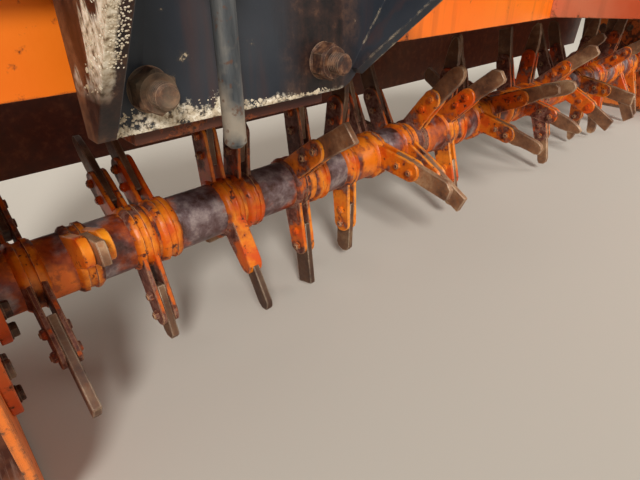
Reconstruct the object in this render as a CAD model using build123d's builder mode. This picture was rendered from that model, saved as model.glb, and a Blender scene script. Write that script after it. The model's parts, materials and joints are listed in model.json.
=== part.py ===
from build123d import *
import math
import os

# Power harrow with one horizontal tined rotor, carried on a three-point linkage.
# Millimetres. +X runs along the rotor to the right, -Y is the front, +Z is up.
# The origin is on the ground, at the middle of the machine's length and width.

# Rotor
rotor_height = 270
tip_radius = 264
tube_radius = 54
cluster_count = 16
cluster_pitch = 190
arm_offset = 30
holder_foot = 76
holder_foot_bite = 6
holder_end = 50
holder_reach = 170
holder_corner = 12
holder_thick = 32
tine_width = 46
tine_thick = 14
tine_bevel = 14
tine_nick = 5
tine_seat = 40
end_flange_radius = 90
end_flange_thick = 16
flange_play = 9
stub_radius = 30
stub_end_play = 2

# Holders of each cluster, two to a row: distance from the cluster's middle, then the turns of the
# holder's two arms from straight down towards the front, in degrees. Left half from the end inwards,
# mirrored for the right half.
cluster_holders = (
    ((-10, 48, 228), (72, 108, 285)),
    ((-18, 17, 231), (30, 222, 300)),
    ((-20, 30, 183), (30, 168, 305)),
    ((-30, 6, 124), (30, 185, 300)),
    ((-60, 0, 170), (50, 78, 200)),
    ((-30, 60, 205), (30, 140, 260)),
    ((-25, 15, 130), (35, 175, 280)),
    ((-50, 74, 190), (40, 110, 240)),
)

# Hood, as distances from the rotor's axis in Y and heights above the ground
inner_width = 3060
sheet = 6
side_thick = 12
hood_front = 306
hood_front_low = 606
deck_top = 706
deck_rear = 210
rear_wall_foot = 305
rear_wall_low = 560
lip_height = 20
lip_thick = 8
lip_step = 4
side_rear = 318
side_nose_low = 110
side_tail_low = 300
side_foot_inset = 20

# Skids
skid_width = 82
skid_sole = 12
skid_front = 230
skid_rear = 250
skid_nose_radius = 130
skid_nose_turn = 50

# Rear board
hinge_y = 335
hinge_height = 585
board_foot_y = 360
board_foot_height = 305
board_thick = 6
board_gap = 6
board_fold = 40
bend_inside = 9
pin_radius = 8
running = 0.05
knuckle_radius = 15
knuckle_length = 60
lug_thick = 10
strap_length = 90
strap_thick = 8
strap_tab = 8
lug_side_gap = 1.5
hinge_count = 4
hinge_pitch = 860
hinge_pin_proud = 6
lug_seat = 0.35
board_top_drop = 20
board_fold_rise = 20

# Beams
front_beam = 120
front_beam_face = 354
beam_wall = 8
beam_inset = 10
beam_round = 12
rear_beam = 80
rear_beam_y = 190

# Front brackets with their stand legs, left one, mirrored for the right
bracket_face = 366
bracket_thick = 12
bracket_outer = 1372
bracket_low = 575
bracket_width = 297
bracket_rise = 130
bracket_rise_height = 745
bracket_corner = 40
cheek_thick = 18
cheek_tip_height = 577
cheek_tip_depth = 9
cheek_front = 473
cheek_front_height = 700
inner_cheek_thick = 12
inner_cheek_depth = 10
inner_cheek_taper = 0.5
pad_outer_inset = 22
pad_width = 240
pad_low = 560
stud_radius = 12
stud_inset = 40
stud_inner_inset = 45
stud_height = 612
stud_proud = 37
stud_clearance = 0.2
nut_flats = 36
nut_height = 20
leg_radius = 11
leg_inset = 97
leg_y = 410
leg_low = 557
leg_length = 823
leg_chamfer = 4
leg_guide_radius = 20
leg_guide_web = 32
leg_guide_low = 722
leg_guide_height = 90
leg_clearance = 0.3

# Lower-link brackets and pins
link_shoulder = 825
link_plate = 20
link_inner_plate = 12
link_plate_gap = 80
link_pin_y = 600
link_pin_height = 665
link_pin_radius = 14
link_pin_out = 68
link_shank_radius = 17
link_collar_radius = 25
link_collar = 6
link_shank_inside = 10
link_nose = 42
link_foot_gap = 2
link_top_reach = 70
link_pin_chamfer = 3

# Mast
mast_thick = 20
mast_foot_width = 74
mast_foot_clearance = 3
mast_leg_top = 85
mast_head_width = 350
mast_head_low = 1150
mast_head_height = 90
mast_top_width = 130
mast_top = 1330
ear_gap = 52
ear_thick = 20
ear_foot_rise = 20
top_pin_y = 560
top_pin_height = 1275
top_pin_radius = 12.75
ear_nose = 38
brace_x = 158
brace_thick = 16
brace_depth = 70
brace_clearance = 25

# Gearbox and drive
gearbox_width = 250
gearbox_front = 190
gearbox_rear = 110
gearbox_crown = 100
gearbox_round = 30
gearbox_chamfer = 14
drive_over_beam = 84
drive_y = 40
input_boss_radius = 68
input_boss_length = 40
input_radius = 17.4
journal_radius = 22
journal_length = 58
journal_play = 2
input_length = 100
input_chamfer = 2
shield_inner = 85
shield_sheet = 4
shield_length = 130
shield_skirt = 10
cross_tube_radius = 70
cross_flange_radius = 95
cross_flange_thick = 14
case_low_radius = 165
case_high_radius = 135
case_depth = 85
case_cover = 8
case_cover_inset = 14
shield_disc_radius = 195
shield_disc_thick = 15
shaft_passage = 50
bearing_flange = 200
bearing_flange_thick = 18
bearing_hub_radius = 78
bore_floor = 25

# Worked out from the sizes above
rear_reach = board_foot_y + board_fold
front_reach = link_pin_y + link_nose
rotor_y = (front_reach - rear_reach) / 2
inner_side = inner_width / 2
outer_side = inner_side + side_thick
first_cluster = -cluster_pitch * (cluster_count - 1) / 2
tube_end = inner_side - shield_disc_thick - flange_play - end_flange_thick
drive_height = deck_top + front_beam + drive_over_beam
gearbox_top = drive_height + gearbox_crown
stub_end = outer_side + case_depth - bore_floor - stub_end_play
mast_foot_out = link_shoulder / 2 - link_collar - link_plate - mast_foot_clearance
bracket_low_inner = bracket_outer - bracket_width
stud_positions = (bracket_outer - stud_inset, bracket_low_inner + stud_inner_inset)
leg_x = bracket_outer - leg_inset


def across(x):
    return Plane.YZ.offset(x)


def facing(y):
    return Plane.XZ.offset(-y)


def save(part, name):
    part.label = name
    export_step(part, f"parts/{name}.step")


os.makedirs("parts", exist_ok=True)


def holder_outline():
    """Tapered holder of one arm, pointing down beside the rotor's axis, from inside the tube to its end."""
    inner = -arm_offset + holder_end / 2
    outer = -arm_offset - holder_end / 2
    with BuildSketch(mode=Mode.PRIVATE) as outline:
        with BuildLine():
            Polyline(
                (-arm_offset + holder_foot / 2, -tube_radius / 2),
                (inner, holder_corner - holder_reach),
                (inner - holder_corner, -holder_reach),
                (outer + holder_corner, -holder_reach),
                (outer, holder_corner - holder_reach),
                (holder_foot_bite - tube_radius, 0),
                close=True,
            )
        make_face()
    return outline.sketch


def tine_outline():
    """Flat tine bar of one arm, from its seat in the holder to its worn end."""
    inner = -arm_offset + tine_width / 2
    outer = -arm_offset - tine_width / 2
    tip = math.sqrt(tip_radius**2 - (arm_offset + tine_width / 2 - tine_bevel) ** 2)
    with BuildSketch(mode=Mode.PRIVATE) as outline:
        with BuildLine():
            Polyline(
                (inner, tine_seat - holder_reach),
                (inner, tine_nick - tip),
                (inner - tine_nick, -tip),
                (outer + tine_bevel, -tip),
                (outer, tine_bevel - tip),
                (outer, tine_seat - holder_reach),
                close=True,
            )
        make_face()
    return outline.sketch


def arm_planes():
    """Plane of each arm, through the middle of its tine, turned about the rotor's axis."""
    planes = []
    for index in range(cluster_count):
        mirrored = cluster_count - 1 - index
        side = 1 if index < mirrored else -1
        for offset, *turns in cluster_holders[min(index, mirrored)]:
            middle = (first_cluster + index * cluster_pitch + side * offset, rotor_y, rotor_height)
            for turn in turns:
                planes.append(Plane(origin=middle, x_dir=(0, 1, 0), z_dir=(1, 0, 0)).rotated((-turn, 0, 0)))
    return planes


# Rotor: the tube with its holders and tines, and the flanged stub shafts that carry its ends
with BuildPart() as tined_rotor:
    with BuildSketch(across(-tube_end)):
        with Locations((rotor_y, rotor_height)):
            Circle(tube_radius)
    extrude(amount=2 * tube_end)
    for outline, thick in ((holder_outline(), holder_thick), (tine_outline(), tine_thick)):
        with BuildSketch(*[plane.offset(-thick / 2) for plane in arm_planes()]):
            add(outline)
        extrude(amount=thick)
save(tined_rotor.part, "tined_rotor")

with BuildPart() as rotor_stubs:
    for side in (-1, 1):
        for start, end, radius in (
            (tube_end, tube_end + end_flange_thick, end_flange_radius),
            (tube_end + end_flange_thick, stub_end, stub_radius),
        ):
            with BuildSketch(across(side * start)):
                with Locations((rotor_y, rotor_height)):
                    Circle(radius)
            extrude(amount=side * (end - start))
save(rotor_stubs.part, "rotor_stubs")

# Hood: front sheet with its lip, deck, and sloping rear wall, between the side plates
with BuildPart() as hood_front_sheet:
    with BuildSketch(across(-inner_side)):
        with BuildLine():
            Polyline(
                (rotor_y - hood_front, hood_front_low),
                (rotor_y - hood_front + lip_thick, hood_front_low),
                (rotor_y - hood_front + lip_thick, hood_front_low + lip_height),
                (rotor_y - hood_front + sheet, hood_front_low + lip_height + lip_step),
                (rotor_y - hood_front + sheet, deck_top - sheet),
                (rotor_y - hood_front, deck_top - sheet),
                close=True,
            )
        make_face()
    extrude(amount=inner_width)
save(hood_front_sheet.part, "hood_front_sheet")

with BuildPart() as hood_deck:
    with BuildSketch(across(-inner_side)):
        with BuildLine():
            Polyline(
                (rotor_y - hood_front, deck_top - sheet),
                (rotor_y + deck_rear, deck_top - sheet),
                (rotor_y + deck_rear, deck_top),
                (rotor_y - hood_front, deck_top),
                close=True,
            )
        make_face()
    extrude(amount=inner_width)
save(hood_deck.part, "hood_deck")

wall_run = rear_wall_foot - deck_rear
wall_drop = deck_top - rear_wall_low
wall_slant = math.hypot(wall_run, wall_drop)
wall_inside = (-sheet * wall_drop / wall_slant, -sheet * wall_run / wall_slant)
with BuildPart() as hood_rear_wall:
    with BuildSketch(across(-inner_side)):
        with BuildLine():
            Polyline(
                (rotor_y + deck_rear, deck_top),
                (rotor_y + deck_rear, deck_top - sheet * wall_slant / wall_run),
                (rotor_y + rear_wall_foot + wall_inside[0], rear_wall_low + wall_inside[1]),
                (rotor_y + rear_wall_foot, rear_wall_low),
                close=True,
            )
        make_face()
    extrude(amount=inner_width)
save(hood_rear_wall.part, "hood_rear_wall")


def side_profile():
    with BuildSketch(mode=Mode.PRIVATE) as profile:
        with BuildLine():
            Polyline(
                (rotor_y - skid_front, skid_sole),
                (rotor_y + skid_rear - side_foot_inset, skid_sole),
                (rotor_y + side_rear, side_tail_low),
                (rotor_y + side_rear, rear_wall_low),
                (rotor_y + deck_rear, deck_top),
                (rotor_y - hood_front, deck_top),
                (rotor_y - hood_front, side_nose_low),
                close=True,
            )
        make_face()
        with Locations((rotor_y, rotor_height)):
            Circle(shaft_passage, mode=Mode.SUBTRACT)
    return profile.sketch


for side, word in ((-1, "left"), (1, "right")):
    with BuildPart() as side_plate:
        with BuildSketch(across(side * inner_side)):
            add(side_profile())
        extrude(amount=side * side_thick)
    save(side_plate.part, f"side_plate_{word}")

    nose_middle = (rotor_y - skid_front, skid_nose_radius)
    with BuildPart() as skid:
        with BuildSketch(across(side * inner_side)):
            with BuildLine():
                sole = Line((rotor_y + skid_rear, 0), (rotor_y - skid_front, 0))
                nose = CenterArc(nose_middle, skid_nose_radius, 270, -skid_nose_turn)
                nose_inside = CenterArc(
                    nose_middle, skid_nose_radius - skid_sole, 270 - skid_nose_turn, skid_nose_turn
                )
                Line(nose @ 1, nose_inside @ 0)
                top = Line(nose_inside @ 1, (rotor_y + skid_rear, skid_sole))
                Line(top @ 1, sole @ 0)
            make_face()
        extrude(amount=side * skid_width)
    save(skid.part, f"skid_{word}")

    with BuildPart() as end_shield:
        with BuildSketch(across(side * inner_side)):
            with Locations((rotor_y, rotor_height)):
                Circle(shield_disc_radius)
                Circle(shaft_passage, mode=Mode.SUBTRACT)
        extrude(amount=-side * shield_disc_thick)
    save(end_shield.part, f"end_shield_{word}")

# Front and rear box beams on the hood's deck, closed at both ends: name, middle, size
for name, middle, size in (
    ("front_beam", front_beam / 2 - front_beam_face, front_beam),
    ("rear_beam", rear_beam_y - rear_beam / 2, rear_beam),
):
    beam_length = inner_width - 2 * beam_inset
    with BuildPart() as beam:
        with BuildSketch(across(-beam_length / 2)):
            with Locations((rotor_y + middle, deck_top + size / 2)):
                RectangleRounded(size, size, beam_round)
        extrude(amount=beam_length)
        with BuildSketch(across(-beam_length / 2 + beam_wall)):
            with Locations((rotor_y + middle, deck_top + size / 2)):
                Rectangle(size - 2 * beam_wall, size - 2 * beam_wall)
        extrude(amount=beam_length - 2 * beam_wall, mode=Mode.SUBTRACT)
    save(beam.part, name)

# Front brackets with their pads, studs and stand legs
bracket_top = deck_top + front_beam
rise = math.hypot(bracket_rise, bracket_rise_height - bracket_low)
rise_turn = math.atan2(bracket_rise_height - bracket_low, bracket_rise)
bend_length = bracket_corner * math.tan(rise_turn / 2)
back_face = rotor_y - bracket_face + bracket_thick
for side, word in ((-1, "left"), (1, "right")):
    with BuildPart() as bracket:
        with BuildSketch(facing(back_face)):
            with BuildLine():
                edge = FilletPolyline(
                    (side * bracket_outer, bracket_low),
                    (side * bracket_low_inner, bracket_low),
                    (side * (bracket_low_inner - bracket_rise), bracket_rise_height),
                    (side * (bracket_low_inner - bracket_rise), bracket_top),
                    radius=bracket_corner,
                )
                Polyline(edge @ 1, (side * bracket_outer, bracket_top), edge @ 0)
            make_face()
            with Locations(*[(side * x, stud_height) for x in stud_positions]):
                Circle(stud_radius + stud_clearance, mode=Mode.SUBTRACT)
        extrude(amount=bracket_thick)
        with BuildSketch(across(side * bracket_outer)):
            with BuildLine():
                Polyline(
                    (back_face, cheek_tip_height),
                    (rotor_y - bracket_face - cheek_tip_depth, cheek_tip_height),
                    (rotor_y - cheek_front, cheek_front_height),
                    (rotor_y - cheek_front, bracket_top),
                    (back_face, bracket_top),
                    close=True,
                )
            make_face()
        extrude(amount=side * cheek_thick)
        inner_edge = Plane(
            origin=(side * bracket_low_inner, back_face, bracket_low),
            x_dir=(0, -1, 0),
            z_dir=(-math.sin(rise_turn), 0, -side * math.cos(rise_turn)),
        )
        with BuildSketch(inner_edge):
            with BuildLine():
                Polyline(
                    (0, bend_length),
                    (bracket_thick + inner_cheek_depth, bend_length),
                    (bracket_thick + inner_cheek_depth + inner_cheek_taper * rise, rise - bend_length),
                    (0, rise - bend_length),
                    close=True,
                )
            make_face()
        extrude(amount=-side * inner_cheek_thick)
        with BuildSketch(Plane.XY.offset(leg_guide_low)):
            with Locations((side * leg_x, rotor_y - leg_y)):
                Circle(leg_guide_radius)
            with Locations((side * leg_x, rotor_y - (leg_y + bracket_face) / 2)):
                Rectangle(leg_guide_web, leg_y - bracket_face)
            with Locations((side * leg_x, rotor_y - leg_y)):
                Circle(leg_radius + leg_clearance, mode=Mode.SUBTRACT)
        extrude(amount=leg_guide_height)
    save(bracket.part, f"stand_bracket_{word}")

    pad_outer = bracket_outer - pad_outer_inset
    with BuildPart() as pad:
        with BuildSketch(facing(rotor_y - hood_front)):
            with BuildLine():
                Polyline(
                    (side * pad_outer, pad_low),
                    (side * (pad_outer - pad_width), pad_low),
                    (side * (pad_outer - pad_width), deck_top),
                    (side * pad_outer, deck_top),
                    close=True,
                )
            make_face()
        extrude(amount=bracket_face - bracket_thick - hood_front)
    save(pad.part, f"bracket_pad_{word}")

    with BuildPart() as studs:
        for start, outline_radius, sides, length in (
            (back_face, stud_radius, 0, bracket_thick + stud_proud),
            (rotor_y - bracket_face, nut_flats / 2, 6, nut_height),
        ):
            with BuildSketch(facing(start)):
                with Locations(*[(side * x, stud_height) for x in stud_positions]):
                    if sides:
                        RegularPolygon(outline_radius, sides, major_radius=False)
                    else:
                        Circle(outline_radius)
            extrude(amount=length)
    save(studs.part, f"bracket_studs_{word}")

    with BuildPart() as leg:
        with BuildSketch(Plane.XY.offset(leg_low)):
            with Locations((side * leg_x, rotor_y - leg_y)):
                Circle(leg_radius)
        extrude(amount=leg_length)
        chamfer(leg.faces().sort_by(Axis.Z)[0].edges(), length=leg_chamfer)
    save(leg.part, f"stand_leg_{word}")


def link_profile():
    with BuildSketch(mode=Mode.PRIVATE) as profile:
        with BuildLine():
            Polyline(
                (rotor_y - hood_front, hood_front_low + link_foot_gap),
                (rotor_y - link_pin_y, link_pin_height - link_nose),
                (rotor_y - link_pin_y, link_pin_height + link_nose),
                (rotor_y - front_beam_face - link_top_reach, deck_top + front_beam),
                (rotor_y - front_beam_face, deck_top + front_beam),
                (rotor_y - front_beam_face, deck_top),
                (rotor_y - hood_front, deck_top),
                close=True,
            )
        make_face()
        with Locations((rotor_y - link_pin_y, link_pin_height)):
            Circle(link_nose)
            Circle(link_shank_radius + running, mode=Mode.SUBTRACT)
    return profile.sketch


# Lower-link brackets with their pins, and mast legs and braces, left one, mirrored for the right
link_face = link_shoulder / 2 - link_collar
link_inner_face = link_face - link_plate - link_plate_gap
link_pin_end = link_inner_face - link_inner_plate - link_shank_inside
for side, word in ((-1, "left"), (1, "right")):
    with BuildPart() as link_bracket:
        with BuildSketch(across(side * link_face)):
            add(link_profile())
        extrude(amount=-side * link_plate)
        with BuildSketch(across(side * link_inner_face)):
            add(link_profile())
        extrude(amount=-side * link_inner_plate)
    save(link_bracket.part, f"link_bracket_{word}")

    with BuildPart() as link_pin:
        for start, end, radius in (
            (link_pin_end, link_face, link_shank_radius),
            (link_face, link_face + link_collar, link_collar_radius),
            (link_face + link_collar, link_face + link_collar + link_pin_out, link_pin_radius),
        ):
            with BuildSketch(across(side * start)):
                with Locations((rotor_y - link_pin_y, link_pin_height)):
                    Circle(radius)
            extrude(amount=side * (end - start))
        free_end = link_pin.faces().sort_by(Axis.X)[-1 if side > 0 else 0]
        chamfer(free_end.edges(), length=link_pin_chamfer)
    save(link_pin.part, f"link_pin_{word}")

    with BuildPart() as mast_leg:
        with BuildSketch(facing(rotor_y - front_beam_face)):
            with BuildLine():
                Polyline(
                    (side * mast_foot_out, deck_top),
                    (side * (mast_foot_out - mast_foot_width), deck_top),
                    (side * (mast_foot_out - mast_foot_width), deck_top + front_beam),
                    (side * (mast_head_width / 2 - mast_leg_top), mast_head_low),
                    (side * mast_head_width / 2, mast_head_low),
                    (side * mast_foot_out, deck_top + front_beam),
                    close=True,
                )
            make_face()
        extrude(amount=mast_thick)
    save(mast_leg.part, f"mast_leg_{word}")

    brace_top = (rotor_y - front_beam_face, mast_head_low + mast_head_height)
    brace_foot = (rotor_y + rear_beam_y, deck_top + rear_beam)
    knee = (rotor_y - drive_y + cross_tube_radius, drive_height + cross_tube_radius + brace_clearance)
    knee_depth = brace_depth / math.sqrt(2)
    with BuildPart() as brace:
        with BuildSketch(across(side * (brace_x - brace_thick / 2))):
            with BuildLine():
                Polyline(
                    brace_top,
                    (knee[0] + knee_depth, knee[1] + knee_depth),
                    brace_foot,
                    (brace_foot[0] - brace_depth, brace_foot[1]),
                    knee,
                    (brace_top[0], brace_top[1] - brace_depth),
                    close=True,
                )
            make_face()
        extrude(amount=side * brace_thick)
    save(brace.part, f"mast_brace_{word}")

with BuildPart() as mast_head:
    with BuildSketch(facing(rotor_y - front_beam_face)):
        with BuildLine():
            Polyline(
                (-mast_head_width / 2, mast_head_low),
                (mast_head_width / 2, mast_head_low),
                (mast_head_width / 2, mast_head_low + mast_head_height),
                (mast_top_width / 2, mast_top),
                (-mast_top_width / 2, mast_top),
                (-mast_head_width / 2, mast_head_low + mast_head_height),
                close=True,
            )
        make_face()
    extrude(amount=mast_thick)
    for side in (-1, 1):
        with BuildSketch(across(side * ear_gap / 2)):
            with BuildLine():
                Polyline(
                    (rotor_y - front_beam_face - mast_thick, mast_head_low + ear_foot_rise),
                    (rotor_y - top_pin_y, top_pin_height - ear_nose),
                    (rotor_y - top_pin_y, top_pin_height + ear_nose),
                    (rotor_y - front_beam_face - mast_thick, mast_top),
                    close=True,
                )
            make_face()
            with Locations((rotor_y - top_pin_y, top_pin_height)):
                Circle(ear_nose)
                Circle(top_pin_radius, mode=Mode.SUBTRACT)
        extrude(amount=side * ear_thick)
save(mast_head.part, "mast_head")

# Gearbox, input shaft with its shield, cross tube and side gear case
with BuildPart() as gearbox:
    with BuildSketch(Plane.XY.offset(deck_top)):
        with Locations((0, rotor_y + (gearbox_rear - gearbox_front) / 2)):
            RectangleRounded(gearbox_width, gearbox_front + gearbox_rear, gearbox_round)
    extrude(amount=gearbox_top - deck_top)
    chamfer(gearbox.faces().sort_by(Axis.Z)[-1].edges(), length=gearbox_chamfer)
    with BuildSketch(facing(rotor_y - gearbox_front)):
        with Locations((0, drive_height)):
            Circle(input_boss_radius)
    extrude(amount=input_boss_length)
    with BuildSketch(facing(rotor_y - gearbox_front - input_boss_length)):
        with Locations((0, drive_height)):
            Circle(journal_radius + running)
    extrude(amount=-journal_length - journal_play, mode=Mode.SUBTRACT)
save(gearbox.part, "gearbox")

with BuildPart() as input_shaft:
    with BuildSketch(facing(rotor_y - gearbox_front - input_boss_length + journal_length)):
        with Locations((0, drive_height)):
            Circle(journal_radius)
    extrude(amount=journal_length)
    with BuildSketch(facing(rotor_y - gearbox_front - input_boss_length)):
        with Locations((0, drive_height)):
            Circle(input_radius)
    extrude(amount=input_length)
    chamfer(input_shaft.faces().sort_by(Axis.Y)[0].edges(), length=input_chamfer)
save(input_shaft.part, "input_shaft")

with BuildPart() as input_shield:
    with BuildSketch(facing(rotor_y - gearbox_front)):
        with BuildLine():
            Polyline(
                (-shield_inner - shield_sheet, drive_height - shield_skirt),
                (-shield_inner, drive_height - shield_skirt),
                (-shield_inner, drive_height + shield_inner),
                (shield_inner, drive_height + shield_inner),
                (shield_inner, drive_height - shield_skirt),
                (shield_inner + shield_sheet, drive_height - shield_skirt),
                (shield_inner + shield_sheet, drive_height + shield_inner + shield_sheet),
                (-shield_inner - shield_sheet, drive_height + shield_inner + shield_sheet),
                close=True,
            )
        make_face()
    extrude(amount=shield_length)
save(input_shield.part, "input_shield")

with BuildPart() as cross_tube:
    with BuildSketch(across(-gearbox_width / 2)):
        with Locations((rotor_y - drive_y, drive_height)):
            Circle(cross_tube_radius)
    extrude(amount=-(outer_side - gearbox_width / 2))
    with BuildSketch(across(-gearbox_width / 2)):
        with Locations((rotor_y - drive_y, drive_height)):
            Circle(cross_flange_radius)
    extrude(amount=-cross_flange_thick)
    with BuildSketch(across(-outer_side)):
        with Locations((rotor_y - drive_y, drive_height)):
            Circle(cross_flange_radius)
    extrude(amount=cross_flange_thick)
save(cross_tube.part, "cross_tube")


def case_outline(shrink):
    with BuildSketch(mode=Mode.PRIVATE) as outline:
        with Locations((rotor_y, rotor_height)):
            Circle(case_low_radius - shrink)
        with Locations((rotor_y - drive_y, drive_height)):
            Circle(case_high_radius - shrink)
        make_hull()
    return outline.sketch


with BuildPart() as gear_case:
    with BuildSketch(across(-outer_side)):
        add(case_outline(0))
    extrude(amount=-case_depth)
    with BuildSketch(across(-outer_side)):
        with Locations((rotor_y, rotor_height)):
            Circle(stub_radius + running)
    extrude(amount=-(case_depth - bore_floor), mode=Mode.SUBTRACT)
save(gear_case.part, "gear_case")

with BuildPart() as gear_case_cover:
    with BuildSketch(across(-outer_side - case_depth)):
        add(case_outline(case_cover_inset))
    extrude(amount=-case_cover)
save(gear_case_cover.part, "gear_case_cover")

with BuildPart() as bearing_housing:
    with BuildSketch(across(outer_side)):
        with Locations((rotor_y, rotor_height)):
            Rectangle(bearing_flange, bearing_flange)
    extrude(amount=bearing_flange_thick)
    with BuildSketch(across(outer_side + bearing_flange_thick)):
        with Locations((rotor_y, rotor_height)):
            Circle(bearing_hub_radius)
    extrude(amount=case_depth + case_cover - bearing_flange_thick)
    with BuildSketch(across(outer_side)):
        with Locations((rotor_y, rotor_height)):
            Circle(stub_radius + running)
    extrude(amount=case_depth - bore_floor, mode=Mode.SUBTRACT)
save(bearing_housing.part, "bearing_housing")

# Rear board on its hinges
hinge_at = (rotor_y + hinge_y, hinge_height)
hinge_xs = [hinge_pitch * (n - (hinge_count - 1) / 2) for n in range(hinge_count)]
lug_x = knuckle_length / 2 + lug_side_gap
with BuildPart() as hinge_lugs:
    for x in hinge_xs:
        for inner in (x - lug_x - lug_thick, x + lug_x):
            with BuildSketch(across(inner)):
                with BuildLine():
                    Polyline(
                        (rotor_y + rear_wall_foot, rear_wall_low),
                        (hinge_at[0] + knuckle_radius, hinge_height - knuckle_radius),
                        (hinge_at[0] + knuckle_radius, hinge_height + knuckle_radius),
                        (rotor_y + deck_rear + wall_run * lug_seat, deck_top - wall_drop * lug_seat),
                        close=True,
                    )
                make_face()
                with Locations(hinge_at):
                    Circle(pin_radius + running, mode=Mode.SUBTRACT)
            extrude(amount=lug_thick)
save(hinge_lugs.part, "hinge_lugs")

pin_reach = lug_x + lug_thick + hinge_pin_proud
with BuildPart() as hinge_pins:
    with BuildSketch(*[across(x - pin_reach) for x in hinge_xs]):
        with Locations(hinge_at):
            Circle(pin_radius)
    extrude(amount=2 * pin_reach)
save(hinge_pins.part, "hinge_pins")

board_top = (hinge_at[0] + knuckle_radius - board_thick, hinge_height - board_top_drop)
board_low = (rotor_y + board_foot_y, board_foot_height)
board_end = (board_low[0] + board_fold, board_low[1] + board_fold_rise)
board_lean = (board_low[0] - board_top[0]) / (board_top[1] - board_low[1])
with BuildPart() as rear_board:
    with BuildSketch(across(-inner_side + board_gap)):
        with BuildLine():
            Polyline(
                board_top,
                board_low,
                board_end,
                (board_end[0], board_end[1] + board_thick),
                (board_low[0] + board_thick - board_lean * bend_inside, board_low[1] + bend_inside),
                (board_top[0] + board_thick, board_top[1]),
                close=True,
            )
        make_face()
    extrude(amount=inner_width - 2 * board_gap)
save(rear_board.part, "rear_board")

strap_front = board_top[0] + board_thick
strap_foot = strap_front + board_lean * strap_length
with BuildPart() as board_knuckles:
    for x in hinge_xs:
        with BuildSketch(across(x - knuckle_length / 2)):
            with BuildLine():
                Polyline(
                    (strap_front - strap_tab, hinge_height),
                    (strap_front, board_top[1]),
                    (strap_foot, board_top[1] - strap_length),
                    (strap_foot + strap_thick, board_top[1] - strap_length),
                    (strap_front + strap_thick, board_top[1]),
                    (strap_front, hinge_height),
                    close=True,
                )
            make_face()
            with Locations(hinge_at):
                Circle(knuckle_radius)
                Circle(pin_radius + running, mode=Mode.SUBTRACT)
        extrude(amount=knuckle_length)
save(board_knuckles.part, "board_knuckles")
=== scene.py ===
import json
import math
import random

import bmesh
import bpy
from mathutils import Matrix, Vector, noise


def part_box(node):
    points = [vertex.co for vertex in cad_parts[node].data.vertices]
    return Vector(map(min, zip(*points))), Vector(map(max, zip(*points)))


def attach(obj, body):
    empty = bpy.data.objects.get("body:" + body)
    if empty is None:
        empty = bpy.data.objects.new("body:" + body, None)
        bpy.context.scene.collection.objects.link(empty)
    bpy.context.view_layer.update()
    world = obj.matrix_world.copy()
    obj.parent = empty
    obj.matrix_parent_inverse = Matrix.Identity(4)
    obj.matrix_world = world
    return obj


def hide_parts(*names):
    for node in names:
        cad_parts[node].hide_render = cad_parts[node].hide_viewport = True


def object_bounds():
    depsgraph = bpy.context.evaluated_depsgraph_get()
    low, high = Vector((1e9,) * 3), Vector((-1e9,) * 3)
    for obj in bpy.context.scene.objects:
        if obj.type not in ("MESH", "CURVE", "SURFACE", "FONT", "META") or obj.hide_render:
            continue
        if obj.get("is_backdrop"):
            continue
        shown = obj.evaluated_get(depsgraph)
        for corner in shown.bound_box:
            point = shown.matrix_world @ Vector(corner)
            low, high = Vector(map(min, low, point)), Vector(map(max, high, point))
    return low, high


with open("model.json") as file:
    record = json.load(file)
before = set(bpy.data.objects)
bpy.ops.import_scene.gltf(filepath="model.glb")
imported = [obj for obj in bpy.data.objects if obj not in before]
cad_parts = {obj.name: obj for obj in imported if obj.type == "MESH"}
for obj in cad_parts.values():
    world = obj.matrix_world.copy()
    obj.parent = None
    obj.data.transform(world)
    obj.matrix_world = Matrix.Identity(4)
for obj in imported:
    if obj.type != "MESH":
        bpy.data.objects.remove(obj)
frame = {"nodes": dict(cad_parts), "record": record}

cad_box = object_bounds()
scene = bpy.context.scene

# The camera stands in front of the left end, at knee height, and looks down the rotor
# to the right. Its place and turn come from the photograph's vanishing points.
camera_place = Vector((-1.511, -0.665, 0.711))
view_right = Vector((0.736, -0.677, 0.0)).normalized()
view_ahead = Vector((0.5823, 0.633, -0.5105)).normalized()
view_up = view_right.cross(view_ahead)
camera = bpy.data.objects.new("camera", bpy.data.cameras.new("camera"))
camera.data.sensor_width = 36
camera.data.lens = 26.44
camera.data.clip_start = 0.02
camera_turn = Matrix((view_right, view_up, -view_ahead)).transposed().to_4x4()
camera.matrix_world = Matrix.Translation(camera_place) @ camera_turn
scene.collection.objects.link(camera)
scene.camera = camera
scene.view_settings.view_transform = "Standard"

# Floor and light: a pale studio floor, an even main light from the front left with soft
# shadows, a weak lamp beyond the right end, a weak one behind, and an even world, which the
# camera and reflections see paler than it lights.


def linear(code):
    """Linear colour of an sRGB hex value."""
    values = [int(code[i:i + 2], 16) / 255 for i in (1, 3, 5)]
    return tuple(v / 12.92 if v <= 0.04045 else ((v + 0.055) / 1.055) ** 2.4 for v in values) + (1,)


def add(tree, kind, inputs=None, ramp=None, **settings):
    """Adds a node with its settings, its colour ramp, and a link, hex colour or value for each input.
    A kind without Node in its name is a shader node. Inputs go by name or number: MapRange takes 0
    from 1 to 2 and gives 3 to 4, and Mix takes a share 0 and the colours 6 and 7."""
    made = tree.nodes.new(kind if "Node" in kind else f"ShaderNode{kind}")
    for key, value in settings.items():
        setattr(made, key, value)
    for key, value in (inputs or {}).items():
        if isinstance(value, bpy.types.NodeSocket):
            tree.links.new(value, made.inputs[key])
        elif isinstance(value, str) and value[0] == "#":
            made.inputs[key].default_value = linear(value)
        else:
            made.inputs[key].default_value = value
    for number, (position, code) in enumerate(ramp or ()):
        stops = made.color_ramp.elements
        stop = stops[number] if number < 2 else stops.new(position)
        stop.position = position
        stop.color = linear(code)
    return made.outputs


def blank_material(name):
    """A new material and its empty tree."""
    material = bpy.data.materials.new(name)
    material.use_nodes = True
    material.node_tree.nodes.clear()
    return material, material.node_tree


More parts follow.
